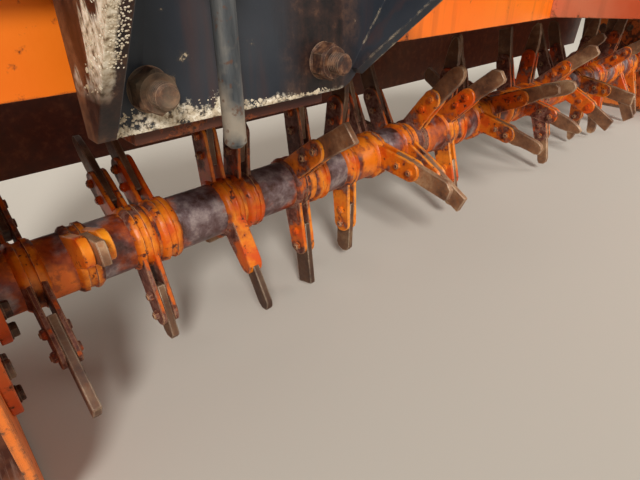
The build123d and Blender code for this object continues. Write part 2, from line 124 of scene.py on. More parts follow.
floor_reach = 9.0
floor_fall = 0.002
floor_mesh = bpy.data.meshes.new("studio_floor")
floor_mesh.from_pydata(
    [(x, y, -floor_fall) for x, y in ((-floor_reach, -floor_reach), (floor_reach, -floor_reach),
                                      (floor_reach, floor_reach), (-floor_reach, floor_reach))],
    [], [(0, 1, 2, 3)],
)
floor = bpy.data.objects.new("studio_floor", floor_mesh)
scene.collection.objects.link(floor)
floor_paint, tree = blank_material("matt_floor_paint")
paint = add(tree, "BsdfPrincipled", {"Base Color": "#C4BCAF", "Roughness": 0.9})
add(tree, "OutputMaterial", {"Surface": paint["BSDF"]})
floor_mesh.materials.append(floor_paint)
floor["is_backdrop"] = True

for lamp_name, kind, place, target, size, power in (
    ("main_light", "SUN", (-4.5, -6.8, 5.8), (0, 0, 0), math.radians(14), 2.7),
    ("right_lamp", "AREA", (3.4, -2.6, 3.0), (0.4, 0.1, 0.4), 2.5, 90),
    ("back_lamp", "AREA", (-1.0, 3.2, 4.6), (0, 0.3, 0.7), 2.5, 60),
):
    lamp = bpy.data.objects.new(lamp_name, bpy.data.lights.new(lamp_name, kind))
    setattr(lamp.data, "angle" if kind == "SUN" else "size", size)
    lamp.data.energy = power
    lamp.location = place
    lamp.rotation_euler = (Vector(target) - Vector(place)).to_track_quat("-Z", "Y").to_euler()
    scene.collection.objects.link(lamp)

world = bpy.data.worlds.new("studio")
scene.world = world
world.use_nodes = True
tree = world.node_tree
tree.nodes.clear()
lighting_level = 0.40
seen_level = 0.85
rays = add(tree, "LightPath")
seen = rays["Is Camera Ray"]
for other in ("Is Glossy Ray", "Is Transmission Ray"):
    seen = add(tree, "Math", {0: seen, 1: rays[other]}, operation="MAXIMUM")[0]
level = add(tree, "MapRange", {0: seen, 3: lighting_level, 4: seen_level})[0]
sky = add(tree, "Background", {"Color": "#E9E5DC", "Strength": level})
add(tree, "OutputWorld", {"Surface": sky["Background"]})


# Rotor tube: a thick steel tube of 108 mm, painted orange, on which the soil has left paint
# only around the holders and polished the rest to brown and violet-grey steel.
stub_lo, stub_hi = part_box("rotor_stubs")
axis_y = (stub_lo.y + stub_hi.y) / 2
axis_z = (stub_lo.z + stub_hi.z) / 2
tube_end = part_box("tined_rotor")[1].x
tube_radius = 0.054
cluster_count = 16
cluster_pitch = 0.190
first_cluster = -cluster_pitch * (cluster_count - 1) / 2
lump = 500.0  # a noise texture of scale lump / n has lumps about n mm across


def turned(rings, sides, radius_at=None, hollow=False):
    """Corners and faces of a solid turned about X, from (along, radius) rings. radius_at shapes each
    corner's radius, and a hollow solid joins its last ring to its first."""
    corners = []
    faces = []
    for number, (along, radius) in enumerate(rings):
        for side in range(sides):
            angle = math.tau * side / sides
            reach = radius_at(along, angle, radius) if radius_at else radius
            corners.append(Vector((along, reach * math.cos(angle), reach * math.sin(angle))))
    for number in range(0 if hollow else 1, len(rings)):
        for side in range(sides):
            ahead = (side + 1) % sides
            last = (number - 1) % len(rings) * sides
            here = number * sides
            faces.append((last + side, last + ahead, here + ahead, here + side))
    if not hollow:
        faces.append(tuple(range(sides)))
        faces.append(tuple(range(len(corners) - sides, len(corners))))
    return corners, faces


def placed(solid, at, axis=(1, 0, 0)):
    """Moves a solid made about X so that it stands at a point and points along an axis."""
    turn = Vector(axis).to_track_quat("X", "Z").to_matrix().to_4x4()
    move = Matrix.Translation(at) @ turn
    return [move @ corner for corner in solid[0]], solid[1]


def mesh_of(name, solids, smooth_below=40):
    """One mesh of several closed solids, outwards, smooth where its faces meet at small angles."""
    corners = []
    faces = []
    for some_corners, some_faces in solids:
        faces += [tuple(i + len(corners) for i in face) for face in some_faces]
        corners += some_corners
    data = bpy.data.meshes.new(name)
    data.from_pydata(corners, [], faces)
    shape = bmesh.new()
    shape.from_mesh(data)
    bmesh.ops.recalc_face_normals(shape, faces=shape.faces)
    shape.to_mesh(data)
    shape.free()
    data.polygons.foreach_set("use_smooth", [True] * len(data.polygons))
    data.set_sharp_from_angle(angle=math.radians(smooth_below))
    return data


def fitted(data, material, body, slot, *nodes):
    """Makes a mesh a piece, with its material and body, and the nodes that it stands for. Its slot is not
    used.
    """
    piece = bpy.data.objects.new(data.name, data)
    scene.collection.objects.link(piece)
    data.materials.clear()
    data.materials.append(material)
    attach(piece, body)
    if nodes:
        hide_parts(*nodes)
    return piece


def edge_share(tree, radius_mm):
    """1 on edges that a rub has rounded, 0 on open faces."""
    rounded = add(tree, "Bevel", {"Radius": radius_mm / 1000}, samples=4)
    flat = add(tree, "NewGeometry")
    lean = add(tree, "VectorMath", {0: rounded["Normal"], 1: flat["Normal"]},
               operation="DOT_PRODUCT")
    return add(tree, "MapRange", {0: lean["Value"], 1: 0.99, 2: 0.80})[0]


def surface(tree, colour, roughness, metallic=0.0, height=None, lift_mm=0.3, specular=0.5):
    """Ends a material with its shader, and a bump where a height is given."""
    inputs = {"Base Color": colour, "Roughness": roughness, "Metallic": metallic,
              "Specular IOR Level": specular}
    if height is not None:
        bump = add(tree, "Bump", {"Height": height, "Distance": lift_mm / 1000})
        inputs["Normal"] = bump["Normal"]
    shader = add(tree, "BsdfPrincipled", inputs)
    add(tree, "OutputMaterial", {"Surface": shader["BSDF"]})


def patterned(name, *grains):
    """A new material and its tree, the piece's own coordinates, and noise for each row of size in
    mm, detail, roughness and, where it is drawn out, its scale along each axis."""
    made, tree = blank_material(name)
    at = add(tree, "TexCoord")
    noises = []
    for size_mm, detail, roughness, *drawn in grains:
        place = at["Object"]
        if drawn:
            place = add(tree, "Mapping", {"Vector": place, "Scale": drawn[0]})[0]
        noises.append(add(tree, "TexNoise", {"Vector": place, "Scale": lump / size_mm, "Detail": detail,
                                             "Roughness": roughness})[0])
    return made, tree, at, *noises


def laid_on(tree, coat, colour, pattern, start, full, most=1.0):
    """Covers a coat with a colour where a pattern passes from start to full. Gives the share too."""
    share = add(tree, "MapRange", {0: pattern, 1: start, 2: full, 4: most})[0]
    return add(tree, "Mix", {0: share, 6: coat, 7: colour}, data_type="RGBA")[2], share


def uneven(height, base, along_scale, round_scale):
    """Radius rule of a turned surface with soft lumps, of a height that is below 0 for dents."""
    def rule(along, angle, radius):
        spot = Vector((along * along_scale, math.cos(angle) * round_scale, math.sin(angle) * round_scale))
        return radius + height * (base + noise.noise(spot))
    return rule


# Sprayed enamel rubbed through by soil: orange survives beside the holders, then dark red primer
# and rust, and between the clusters bare steel with a dull sheen. Its pores are drawn 4 mm wide,
# coarser than they are, so that they show.
rubbed_enamel, tree, at, patches, grit, pores = patterned(
    "enamel_rubbed_to_steel", (70, 5, 0.6), (22, 9, 0.66), (4, 5, 0.6))
along = add(tree, "SeparateXYZ", {0: at["Object"]})["X"]
started = add(tree, "Math", {0: along, 1: first_cluster}, operation="SUBTRACT")[0]
from_holder = add(tree, "Math", {0: started, 1: cluster_pitch / 2}, operation="PINGPONG")[0]
rub = add(tree, "Math", {0: patches, 1: 0.36, 2: from_holder}, operation="MULTIPLY_ADD")[0]
steel = add(tree, "ValToRGB", {0: grit}, ramp=((0.36, "#54352A"), (0.48, "#7A6464"), (0.62, "#B09E98")))[0]
rust = add(tree, "ValToRGB", {0: grit}, ramp=((0.36, "#48190D"), (0.5, "#8A3614"), (0.64, "#BC5A20")))[0]
orange = add(tree, "ValToRGB", {0: patches}, ramp=((0.35, "#DE640C"), (0.62, "#F8901E")))[0]
painted = laid_on(tree, orange, rust, grit, 0.52, 0.60)[0]
stripped, bare = laid_on(tree, rust, steel, rub, 0.232, 0.262)
coat, worn = laid_on(tree, painted, stripped, rub, 0.192, 0.222)
sheen = add(tree, "MapRange", {0: grit, 1: 0.35, 2: 0.65, 3: 0.36, 4: 0.62})[0]
shine = add(tree, "Math", {0: bare, 1: 0.55}, operation="MULTIPLY")[0]
layer = add(tree, "Math", {0: worn, 1: -0.8, 2: pores}, operation="MULTIPLY_ADD")[0]
surface(tree, coat, sheen, shine, layer, 0.4)

tube_rings = 240
tube_sides = 56
tube_dents = uneven(height=-0.0008, base=1, along_scale=14, round_scale=1.6)
tube_line = [(2 * tube_end * n / tube_rings - tube_end, tube_radius) for n in range(tube_rings + 1)]
tube = placed(turned(tube_line, tube_sides, tube_dents), (0, axis_y, axis_z))
fitted(mesh_of("rotor_tube", [tube]), rubbed_enamel, "rotor", "rotor_paint", "tined_rotor")

# Tine holders: pairs of flame-cut 9 mm plates with rounded ends, which pass beside the rotor's
# axis. Each is threaded on the tube by its hub and welded round, and stones gnaw at its edges.
cluster_holders = (
    ((-10, 48, 228), (72, 108, 285)),
    ((-18, 17, 231), (30, 222, 300)),
    ((-20, 30, 183), (30, 168, 305)),
    ((-30, 6, 124), (30, 185, 300)),
    ((-60, 0, 170), (50, 78, 200)),
    ((-30, 60, 205), (30, 140, 260)),
    ((-25, 15, 130), (35, 175, 280)),
    ((-50, 74, 190), (40, 110, 240)),
)
arm_offset = 0.030
holder_thick = 0.032
plate_thick = 0.009
plate_end_radius = 0.025
plate_end = 0.145
plate_foot = ((-0.008, 0.027), (0.048, 0.0))
plate_kinds = 4


def holder_rows():
    """Each holder's place along the tube and the turns of its two arms, from the left end."""
    rows = []
    for cluster in range(cluster_count):
        mirrored = cluster_count - 1 - cluster
        side = 1 if cluster < mirrored else -1
        for offset, *turns in cluster_holders[min(cluster, mirrored)]:
            rows.append((first_cluster + cluster * cluster_pitch + side * offset / 1000, turns))
    return rows


def flat_solid(outline, thick, middle=0.0):
    """A bar or plate cut from an outline in (across, out) metres, thick along the tube."""
    count = len(outline)
    corners = [Vector((middle + side * thick / 2, y, z)) for side in (-1, 1) for y, z in outline]
    faces = [(i, (i + 1) % count, count + (i + 1) % count, count + i) for i in range(count)]
    return corners, [tuple(range(count)), tuple(range(count, 2 * count))] + faces


def shape_set(name, meshes):
    """A hidden collection of shapes for a tree to pick from, in the order of their names."""
    group = bpy.data.collections.new(name)
    for number, data in enumerate(meshes):
        group.objects.link(bpy.data.objects.new(f"{name}_{number:02d}", data))
    return group


# The tree that repeats shapes: each point takes the shape of its kind, its X axis turned to the
# point's axis, after a spin about it and a little play.
copies_tree = bpy.data.node_groups.new("copies_on_points", "GeometryNodeTree")
copies_tree.interface.new_socket("Geometry", in_out="INPUT", socket_type="NodeSocketGeometry")
copies_tree.interface.new_socket("Geometry", in_out="OUTPUT", socket_type="NodeSocketGeometry")
for label, kind in (("Shapes", "Collection"), ("Swing", "Float"), ("Lean", "Float"), ("Seed", "Int"),
                    ("Material", "Material")):
    copies_tree.interface.new_socket(label, in_out="INPUT", socket_type=f"NodeSocket{kind}")
given = add(copies_tree, "NodeGroupInput")
shapes = add(copies_tree, "GeometryNodeCollectionInfo",
             {"Collection": given["Shapes"], "Separate Children": True, "Reset Children": True})
spin, kind, axis = (
    add(copies_tree, "GeometryNodeInputNamedAttribute", {"Name": label}, data_type=form)
    for label, form in (("spin", "FLOAT"), ("kind", "INT"), ("axis", "FLOAT_VECTOR"))
)
swing = add(copies_tree, "FunctionNodeRandomValue", {2: -1.0, 3: 1.0, "Seed": given["Seed"]})
swung = add(copies_tree, "Math", {0: swing[1], 1: given["Swing"], 2: spin["Attribute"]},
            operation="MULTIPLY_ADD")
next_seed = add(copies_tree, "Math", {0: given["Seed"], 1: 1.0})
lean = add(copies_tree, "FunctionNodeRandomValue", {2: -1.0, 3: 1.0, "Seed": next_seed[0]})
leant = add(copies_tree, "Math", {0: lean[1], 1: given["Lean"]}, operation="MULTIPLY")
own_turn = add(copies_tree, "CombineXYZ", {"X": swung[0], "Z": leant[0]})
faced = add(copies_tree, "FunctionNodeAlignRotationToVector",
            {"Rotation": own_turn[0], "Vector": axis["Attribute"]}, axis="X")
copies = add(copies_tree, "GeometryNodeInstanceOnPoints", {
    "Points": given["Geometry"], "Instance": shapes[0], "Pick Instance": True,
    "Instance Index": kind["Attribute"], "Rotation": faced[0],
})
real = add(copies_tree, "GeometryNodeRealizeInstances", {"Geometry": copies[0]})
dressed = add(copies_tree, "GeometryNodeSetMaterial", {"Geometry": real[0], "Material": given["Material"]})
result = copies_tree.nodes.new("NodeGroupOutput")
copies_tree.links.new(dressed[0], result.inputs[0])


def settled(piece):
    """Turns a piece's live modifiers into its plain mesh."""
    whole = piece.evaluated_get(bpy.context.evaluated_depsgraph_get())
    data = bpy.data.meshes.new_from_object(whole)
    piece.modifiers.clear()
    data.name = piece.name
    bpy.data.objects.remove(piece)
    return data


def round_edges(piece, edge_mm, segments=1):
    """Bevels the edges where faces meet at more than 35 degrees."""
    edge = piece.modifiers.new("edge", "BEVEL")
    edge.width = edge_mm / 1000
    edge.segments = segments
    edge.limit_method = "ANGLE"
    edge.angle_limit = math.radians(35)


def repeated(name, shapes, rows, material, body, slot, *nodes, seed, swing=0.0, lean=0.0, edge_mm=0.0):
    """A piece of shapes that the tree copies to rows of (place, axis, spin, kind, tone), of which
    its material may read the tone."""
    data = bpy.data.meshes.new(name)
    data.from_pydata([row[0] for row in rows], [], [])
    axes = [value for row in rows for value in row[1]]
    data.attributes.new("axis", "FLOAT_VECTOR", "POINT").data.foreach_set("vector", axes)
    for column, label, form in ((2, "spin", "FLOAT"), (3, "kind", "INT"), (4, "tone", "FLOAT")):
        values = [row[column] for row in rows]
        data.attributes.new(label, form, "POINT").data.foreach_set("value", values)
    piece = bpy.data.objects.new(name, data)
    scene.collection.objects.link(piece)
    modifier = piece.modifiers.new("repeat", "NODES")
    modifier.node_group = copies_tree
    identifiers = {s.name: s.identifier for s in copies_tree.interface.items_tree if s.in_out == "INPUT"}
    for label, value in (("Shapes", shape_set(f"{name}_shape", shapes)), ("Swing", swing), ("Lean", lean),
                         ("Seed", seed), ("Material", material)):
        modifier[identifiers[label]] = value
    if edge_mm:
        round_edges(piece, edge_mm)
    return fitted(settled(piece), material, body, slot, *nodes)


def enamel(name, fresh, faded, chips_at, dust, spot_mm=10.0, edge_mm=4.0, stained_and_shaded=False,
           chip_colours=("#9A4518", "#3C1B10", "#8E4A24"), mud=None):
    """Sprayed enamel on steel, bleached in patches. Chips with a rim gather on edges, thin runs
    follow the rain, and dry soil lies on faces that look up. chips_at is 0.6 for heavy loss and
    0.8 for light. A stained and shaded coat is dark on faces towards the rotor, soil stain with
    painted shade, and mud gives masks of old rust, darkened with painted shade, and of clay. Grit
    and pores are drawn 3 mm wide, coarser than they are, so that they show."""
    made, tree, at, broad, spots, fine, runs = patterned(
        name, (150, 5, 0.5), (spot_mm, 8, 0.68), (3, 4, 0.5), (16, 5, 0.5, (1.0, 1.0, 0.1)))
    place = at["Object"]
    paint = add(tree, "ValToRGB", {0: broad}, ramp=((0.36, fresh), (0.64, faded)))[0]
    paint = laid_on(tree, paint, "#5A2A16", runs, 0.54, 0.74, 0.4)[0]
    loss = spots
    for pattern, weight in ((edge_share(tree, edge_mm), 0.2), (broad, 0.22)):
        loss = add(tree, "Math", {0: pattern, 1: weight, 2: loss}, operation="MULTIPLY_ADD")[0]
    rust = add(tree, "ValToRGB", {0: fine}, ramp=((0.38, chip_colours[1]), (0.62, chip_colours[2])))[0]
    coat = laid_on(tree, paint, chip_colours[0], loss, chips_at - 0.06, chips_at, 0.7)[0]
    coat, chip = laid_on(tree, coat, rust, loss, chips_at - 0.01, chips_at + 0.015)
    if stained_and_shaded:
        # Soil stain with painted shade: faces turned towards the rotor's axis go dark maroon.
        back = add(tree, "VectorMath", {0: (0, axis_y, axis_z), 1: place}, operation="SUBTRACT")[0]
        inward = add(tree, "VectorMath", {0: back, 1: (0, 1, 1)}, operation="MULTIPLY")[0]
        inward = add(tree, "VectorMath", {0: inward}, operation="NORMALIZE")[0]
        facing = add(tree, "VectorMath", {0: inward, 1: at["Normal"]}, operation="DOT_PRODUCT")["Value"]
        soiled_and_shaded = add(tree, "ValToRGB", {0: spots},
                     ramp=((0.38, "#2A100B"), (0.52, "#45190D"), (0.66, "#6E3A22")))[0]
        coat = laid_on(tree, coat, soiled_and_shaded, facing, 0.25, 0.4, 0.93)[0]
    up = add(tree, "SeparateXYZ", {0: at["Normal"]})["Z"]
    bed = add(tree, "Math", {0: up, 1: spots})[0]
    lying = add(tree, "MapRange", {0: bed, 1: 1.0, 2: 1.6, 4: dust * 1.6})[0]
    film = add(tree, "MapRange", {0: broad, 1: 0.42, 2: 0.7, 4: dust})[0]
    soil = add(tree, "Math", {0: lying, 1: film}, operation="MAXIMUM")[0]
    coat = add(tree, "Mix", {0: soil, 6: coat, 7: "#B9A283"}, data_type="RGBA")[2]
    height = add(tree, "Math", {0: fine, 1: 0.4}, operation="MULTIPLY")[0]
    height = add(tree, "Math", {0: height, 1: chip}, operation="SUBTRACT")[0]
    if mud:
        stain_and_shade_share, clay_share = mud(tree, place, spots, runs)
        mottle = add(tree, "Mix", {0: 0.5, 2: runs, 3: spots})[0]
        # Dark brown over the first mask: rust and oil, with painted shade on the cheek.
        stain_and_shade = add(tree, "ValToRGB", {0: mottle},
                    ramp=((0.41, "#170D0B"), (0.5, "#342019"), (0.6, "#6C4A34")))[0]
        coat = add(tree, "Mix", {0: stain_and_shade_share, 6: coat, 7: stain_and_shade}, data_type="RGBA")[2]
        clay = add(tree, "ValToRGB", {0: fine},
                   ramp=((0.34, "#7A644C"), (0.46, "#CAB79B"), (0.62, "#EFE2CC")))[0]
        coat = add(tree, "Mix", {0: clay_share, 6: coat, 7: clay}, data_type="RGBA")[2]
        soil = add(tree, "Math", {0: soil, 1: clay_share}, operation="MAXIMUM")[0]
        lifted = add(tree, "Math", {0: fine, 1: 3.0, 2: 1.0}, operation="MULTIPLY_ADD")[0]
        height = add(tree, "Math", {0: clay_share, 1: lifted, 2: height},
                     operation="MULTIPLY_ADD")[0]
    dull = add(tree, "Math", {0: chip, 1: soil}, operation="MAXIMUM")[0]
    rough = add(tree, "MapRange", {0: dull, 3: 0.42, 4: 0.85})[0]
    surface(tree, coat, rough, 0.0, height, 0.35, specular=0.3)
    return made


# Enamel that stones have beaten: bright orange where it lasts, stained dark red round the losses,
# brown rubbed steel on the flats of the older arms, and pale metal on the leading edges, where a
# painted highlight lies too. The arm's tone and the plates' flat faces add painted shade to the
# rub. Its grit is drawn 3 mm wide, coarser than it is, so that it shows.
holder_enamel, tree, at, patches, grit, fine = patterned(
    "enamel_stone_chipped", (45, 6, 0.6), (9, 7, 0.65), (3, 5, 0.5))
tone = add(tree, "Attribute", attribute_name="tone")["Fac"]
along = add(tree, "SeparateXYZ", {0: at["Normal"]})["X"]
flat = add(tree, "Math", {0: along}, operation="ABSOLUTE")[0]
# The rub takes the arm's tone, which is wear with painted shade, and the plates' flat faces, darkened as wear
# and as painted shade beside their edges.
rub = patches
for pattern, weight in ((tone, 0.26), (flat, 0.10), (grit, 0.18)):
    rub = add(tree, "Math", {0: pattern, 1: weight, 2: rub}, operation="MULTIPLY_ADD")[0]
orange = add(tree, "ValToRGB", {0: patches}, ramp=((0.38, "#D04E0C"), (0.56, "#F8961E")))[0]
brown = add(tree, "ValToRGB", {0: grit}, ramp=((0.36, "#3E1A12"), (0.5, "#69382A"), (0.66, "#93705F")))[0]
coat = laid_on(tree, orange, "#A83E0E", rub, 0.68, 0.80, 0.85)[0]
coat, worn = laid_on(tree, coat, brown, rub, 0.79, 0.84)
edge = edge_share(tree, 3)
beaten = add(tree, "Math", {0: edge, 1: 0.09, 2: grit}, operation="MULTIPLY_ADD")[0]
coat, chip = laid_on(tree, coat, "#5E2A18", beaten, 0.60, 0.63)
# Painted highlight with pale worn metal: a cream colour on the edges in the brighter patches.
pale_wear_and_highlight = add(tree, "MapRange", {0: patches, 1: 0.42, 2: 0.62, 4: 0.75})[0]
pale_wear_and_highlight = add(tree, "Math", {0: pale_wear_and_highlight, 1: edge}, operation="MULTIPLY")[0]
coat = add(tree, "Mix", {0: pale_wear_and_highlight, 6: coat, 7: "#F6C690"}, data_type="RGBA")[2]
sheen = add(tree, "MapRange", {0: worn, 3: 0.4, 4: 0.6})[0]
height = add(tree, "Math", {0: chip, 1: -0.8, 2: fine}, operation="MULTIPLY_ADD")[0]
surface(tree, coat, sheen, 0.0, height, 0.5, specular=0.35)

plate_step = 0.012
plate_gnaw = 0.0011
bites = 90
bite_shift = 7.3
# The noise that gnaws the plates starts from the clock unless it is given a seed.
gnaw_seed = 4
noise.seed_set(gnaw_seed)


def gnawed(outline, seed):
    """An outline with points added along its edges, each pushed in or out a little."""
    bitten = []
    for (y0, z0), (y1, z1) in zip(outline, outline[1:] + outline[:1]):
        steps = max(1, round(math.hypot(y1 - y0, z1 - z0) / plate_step))
        for n in range(steps):
            y = y0 + (y1 - y0) * n / steps
            z = z0 + (z1 - z0) * n / steps
            push = noise.noise_vector(Vector((y * bites, z * bites, seed * bite_shift)))
            bitten.append((y + plate_gnaw * push.x, z + plate_gnaw * push.y))
    return bitten


end_steps = 12
plate_outline = [plate_foot[0]]
for n in range(end_steps + 1):
    bend = math.pi - math.pi * n / end_steps
    across = arm_offset + plate_end_radius * math.cos(bend)
    plate_outline.append((across, plate_end + plate_end_radius * math.sin(bend)))
plate_outline.append(plate_foot[1])
plate_middle = (holder_thick - plate_thick) / 2
plate_meshes = []
for n in range(plate_kinds):
    plates = [flat_solid(gnawed(plate_outline, n + side), plate_thick, side * plate_middle)
              for side in (-1, 1)]
    plate_meshes.append(mesh_of(f"plate_pair_{n}", plates))
# One lug near the left end has lost its tine, and its ends are beaten short and thick.
lug_cut = 0.016
lug_thick = 0.015
lug_middle = 0.0155
lug_seed = 9
lug_outline = [(y, z - lug_cut if z > plate_end - lug_cut else z) for y, z in plate_outline]
lug_plates = [flat_solid(gnawed(lug_outline, lug_seed + side), lug_thick, side * lug_middle)
              for side in (-1, 1)]
plate_meshes.append(mesh_of(f"plate_pair_{plate_kinds}", lug_plates))
# Another has its plates closed by a wall in front, and it tapers towards its end.
closed_taper = 0.76
closed_cut = 0.022
closed_outline = [
    (arm_offset + (y - arm_offset) * closed_taper, z - closed_cut) if z > plate_end / 2 else (y, z)
    for y, z in plate_outline
]
closed_seed = 12
closed_plate = flat_solid(gnawed(closed_outline, closed_seed), holder_thick)
plate_meshes.append(mesh_of(f"plate_pair_{plate_kinds + 1}", [closed_plate]))
lug_arm = 2
closed_arm = 8
seen_plates = {lug_arm: plate_kinds, closed_arm: plate_kinds + 1}
# How far each arm's paint has gone, with painted shade on the shaded ones, from the photograph
# for the first ones and by chance beyond. Arms whose turn raises them towards the hood get the
# most, as painted shade under the hood.
chance = random.Random(8)
seen_wear_and_shade = {0: 0.95, 1: 0.8, 2: 0.0, 3: 0.55, 4: 0.8, 5: 0.55, 6: 0.6, 8: 0.5, 9: 0.5,
             12: 0.45, 13: 0.2, 16: 0.1, 18: 0.25}
arm_turns = [turn % 360 for x, turns in holder_rows() for turn in turns]
arm_raised = [140 < turn < 265 for turn in arm_turns]
arm_wear_and_shade = []
for n, raised in enumerate(arm_raised):
    arm_wear_and_shade.append(seen_wear_and_shade.get(n, chance.uniform(0.65, 0.95) if raised else chance.uniform(0.05, 0.65)))

arm_rows = [((x, axis_y, axis_z), (1, 0, 0), math.pi - math.radians(turn))
            for x, turns in holder_rows() for turn in turns]
plate_rows = [(*row, seen_plates.get(n, (3 * n) % plate_kinds), arm_wear_and_shade[n])
              for n, row in enumerate(arm_rows)]
repeated("tine_holders", plate_meshes, plate_rows, holder_enamel, "rotor", "rotor_paint", "tined_rotor",
         seed=3, edge_mm=1.6)

# Collars: each holder's hub, a flame-cut ring of steel that stands out round the tube, and the
# welds at both its sides, lumpy where the beads were laid by hand.
hub_sides = 56
hub_rim = 0.0605
hub_waist = 0.0575
hub_edge = 0.001
weld_leg = 0.006
weld_sink = 0.002
weld_crown = 0.0022
weld_beads = uneven(height=0.0021, base=0, along_scale=90, round_scale=6)
hub_half = holder_thick / 2
hub_profile = [
    (-hub_half - weld_leg, tube_radius - weld_sink),
    (-hub_half - weld_leg * 0.6, tube_radius + weld_crown),
    (-hub_half - hub_edge, hub_rim - 2 * hub_edge),
    (-hub_half + hub_edge, hub_rim),
    (-hub_half + plate_thick, hub_rim),
    (-hub_half + plate_thick + hub_edge, hub_waist),
    (-3 * hub_edge, hub_waist - hub_edge),
]
hub_profile += [(-along, radius) for along, radius in reversed(hub_profile)]
hub_rows = [((x, axis_y, axis_z), (1, 0, 0), 0.0, 0, 0.25 + 0.5 * chance.random())
            for x, turns in holder_rows()]
hub = mesh_of("hub_collar", [turned(hub_profile, hub_sides, weld_beads, hollow=True)], smooth_below=50)
repeated("holder_hubs", [hub], hub_rows, holder_enamel, "rotor", "rotor_paint", "tined_rotor",
         seed=5, swing=3.0)

# Tines: flat bars of 46 x 14 mm forged and hardened steel, clamped between the plates. No two
# are worn alike: some are cut square, some rounded, some down to a point or a short stump.
tine_half = 0.023
tine_thick = 0.014
tine_seat = 0.088
tine_profiles = (
    ((-1.0, 0.2520), (-0.8, 0.2590), (0.30, 0.2605), (0.95, 0.2460), (1.0, 0.2400)),
    ((-1.0, 0.2320), (-0.8, 0.2480), (-0.40, 0.2580), (0.05, 0.2600), (0.50, 0.2560), (0.85, 0.2430),
     (1.0, 0.2250)),
    ((-0.95, 0.1900), (-0.75, 0.2220), (-0.45, 0.2480), (-0.20, 0.2560), (0.20, 0.2560), (0.55, 0.2440),
     (0.80, 0.2240), (0.97, 0.1960)),
    ((-0.95, 0.1750), (-0.70, 0.1980), (-0.60, 0.2240), (-0.60, 0.2450), (-0.40, 0.2570), (0.35, 0.2590),
     (0.80, 0.2520), (1.0, 0.2360)),
    ((-1.0, 0.2540), (-0.9, 0.2560), (0.9, 0.2500), (1.0, 0.2480)),
    ((-0.9, 0.1720), (-0.5, 0.1760), (0.3, 0.1770), (0.8, 0.1730)),
    ((-0.9, 0.1900), (-0.6, 0.2010), (0.2, 0.2040), (0.8, 0.1950)),
    ((-1.0, 0.2150), (-0.7, 0.2280), (0.0, 0.2340), (0.6, 0.2300), (1.0, 0.2180)),
)


def tine_bar(number, profile, half, seat):
    """A tine cut off at its seat, whose worn end goes by (share of its half width, distance out)."""
    outline = [(arm_offset + half * share, out) for share, out in ((-1.0, seat), *profile, (1.0, seat))]
    return mesh_of(f"tine_{number}", [flat_solid(outline, tine_thick)])


tine_meshes = [tine_bar(n, profile, tine_half, tine_seat) for n, profile in enumerate(tine_profiles)]
# The closed holder grips a narrower tine by its very end.
slim_share = 0.74
slim_kind = len(tine_profiles)
slim_profile = tine_profiles[-1]
tine_meshes.append(tine_bar(slim_kind, slim_profile, tine_half * slim_share, plate_end - closed_cut))
# Wear seen on arms of the left end, by the arm's number along the tube; the rest take turns.
seen_wear = {0: 4, 2: 5, 3: 5, 4: 6, 5: 2, 6: 2, 8: slim_kind, 9: 2, 12: 4, 13: 4, 16: 7, 18: 0,
             20: 4, 24: 7, 28: 3}
whole_kinds = 5

# Forged steel: dark brown scale and rust, rubbed to lighter metal on the edges that cut. Its flecks
# of rust are drawn 6 mm wide, coarser than they are, so that they show.
forged_steel, tree, at, broad, fine = patterned("forged_steel_soil_worn", (35, 6, 0.65), (6, 7, 0.7))
scale = add(tree, "ValToRGB", {0: broad}, ramp=((0.36, "#5E3E2C"), (0.52, "#8E6446"), (0.66, "#BE966E")))[0]
scale = laid_on(tree, scale, "#A2663A", fine, 0.52, 0.68, 0.8)[0]
caught = add(tree, "MapRange", {0: broad, 1: 0.35, 2: 0.6, 3: 0.25, 4: 0.9})[0]
rubbed = add(tree, "Math", {0: edge_share(tree, 4), 1: caught}, operation="MULTIPLY")[0]
tone = add(tree, "Attribute", attribute_name="tone")["Fac"]
# Painted shade with darker scale: the tone darkens the tine towards near black.
scale = laid_on(tree, scale, "#2C1A16", tone, 0.0, 1.0, 0.85)[0]
scale = add(tree, "Mix", {0: rubbed, 6: scale, 7: "#D6C4A8"}, data_type="RGBA")[2]
sheen = add(tree, "MapRange", {0: fine, 1: 0.35, 2: 0.65, 3: 0.42, 4: 0.68})[0]
surface(tree, scale, sheen, 0.3, fine, 0.45)

# How dark each tine is, partly painted shade and partly darker scale, from the photograph for the
# first ones and by chance beyond. Those raised towards the hood are darker still, as painted shade
# under it.
seen_dark = {0: 0.75, 1: 0.7, 2: 0.0, 4: 0.6, 5: 0.6, 8: 0.9, 9: 0.7, 12: 0.85, 13: 0.0, 16: 0.6,
             18: 0.0, 20: 0.1, 28: 0.1}
tine_rows = []
for n, row in enumerate(arm_rows):
    wear = seen_wear.get(n, (7 * n + 3 * (n // 5)) % whole_kinds)
    dark = seen_dark.get(n, chance.uniform(0, 0.3) + (0.35 if arm_raised[n] else 0))
    tine_rows.append((*row, wear, dark))
repeated("tines", tine_meshes, tine_rows, forged_steel, "rotor", "worn_steel", "tined_rotor",
         seed=11, swing=0.015, lean=0.01, edge_mm=1.4)

# Clamp bolts: two bolts through each arm, whose low heads and nuts the stones have rounded and
# the paint has covered with the plates.
clamp_outs = (0.108, 0.147)
clamp_flats = 0.0165
clamp_head = 0.0052
clamp_nut = 0.0070
clamp_radius = 0.0048
clamp_past_nut = 0.002
head_sides = 24
head_end_share = 0.47
head_sunk = 0.001


def hexagon(flats):
    """Radius rule that cuts a turned solid to a hexagon of a width across flats."""
    def rule(along, angle, radius):
        return min(radius, flats / 2 / math.cos((angle + math.pi / 6) % (math.pi / 3) - math.pi / 6))
    return rule


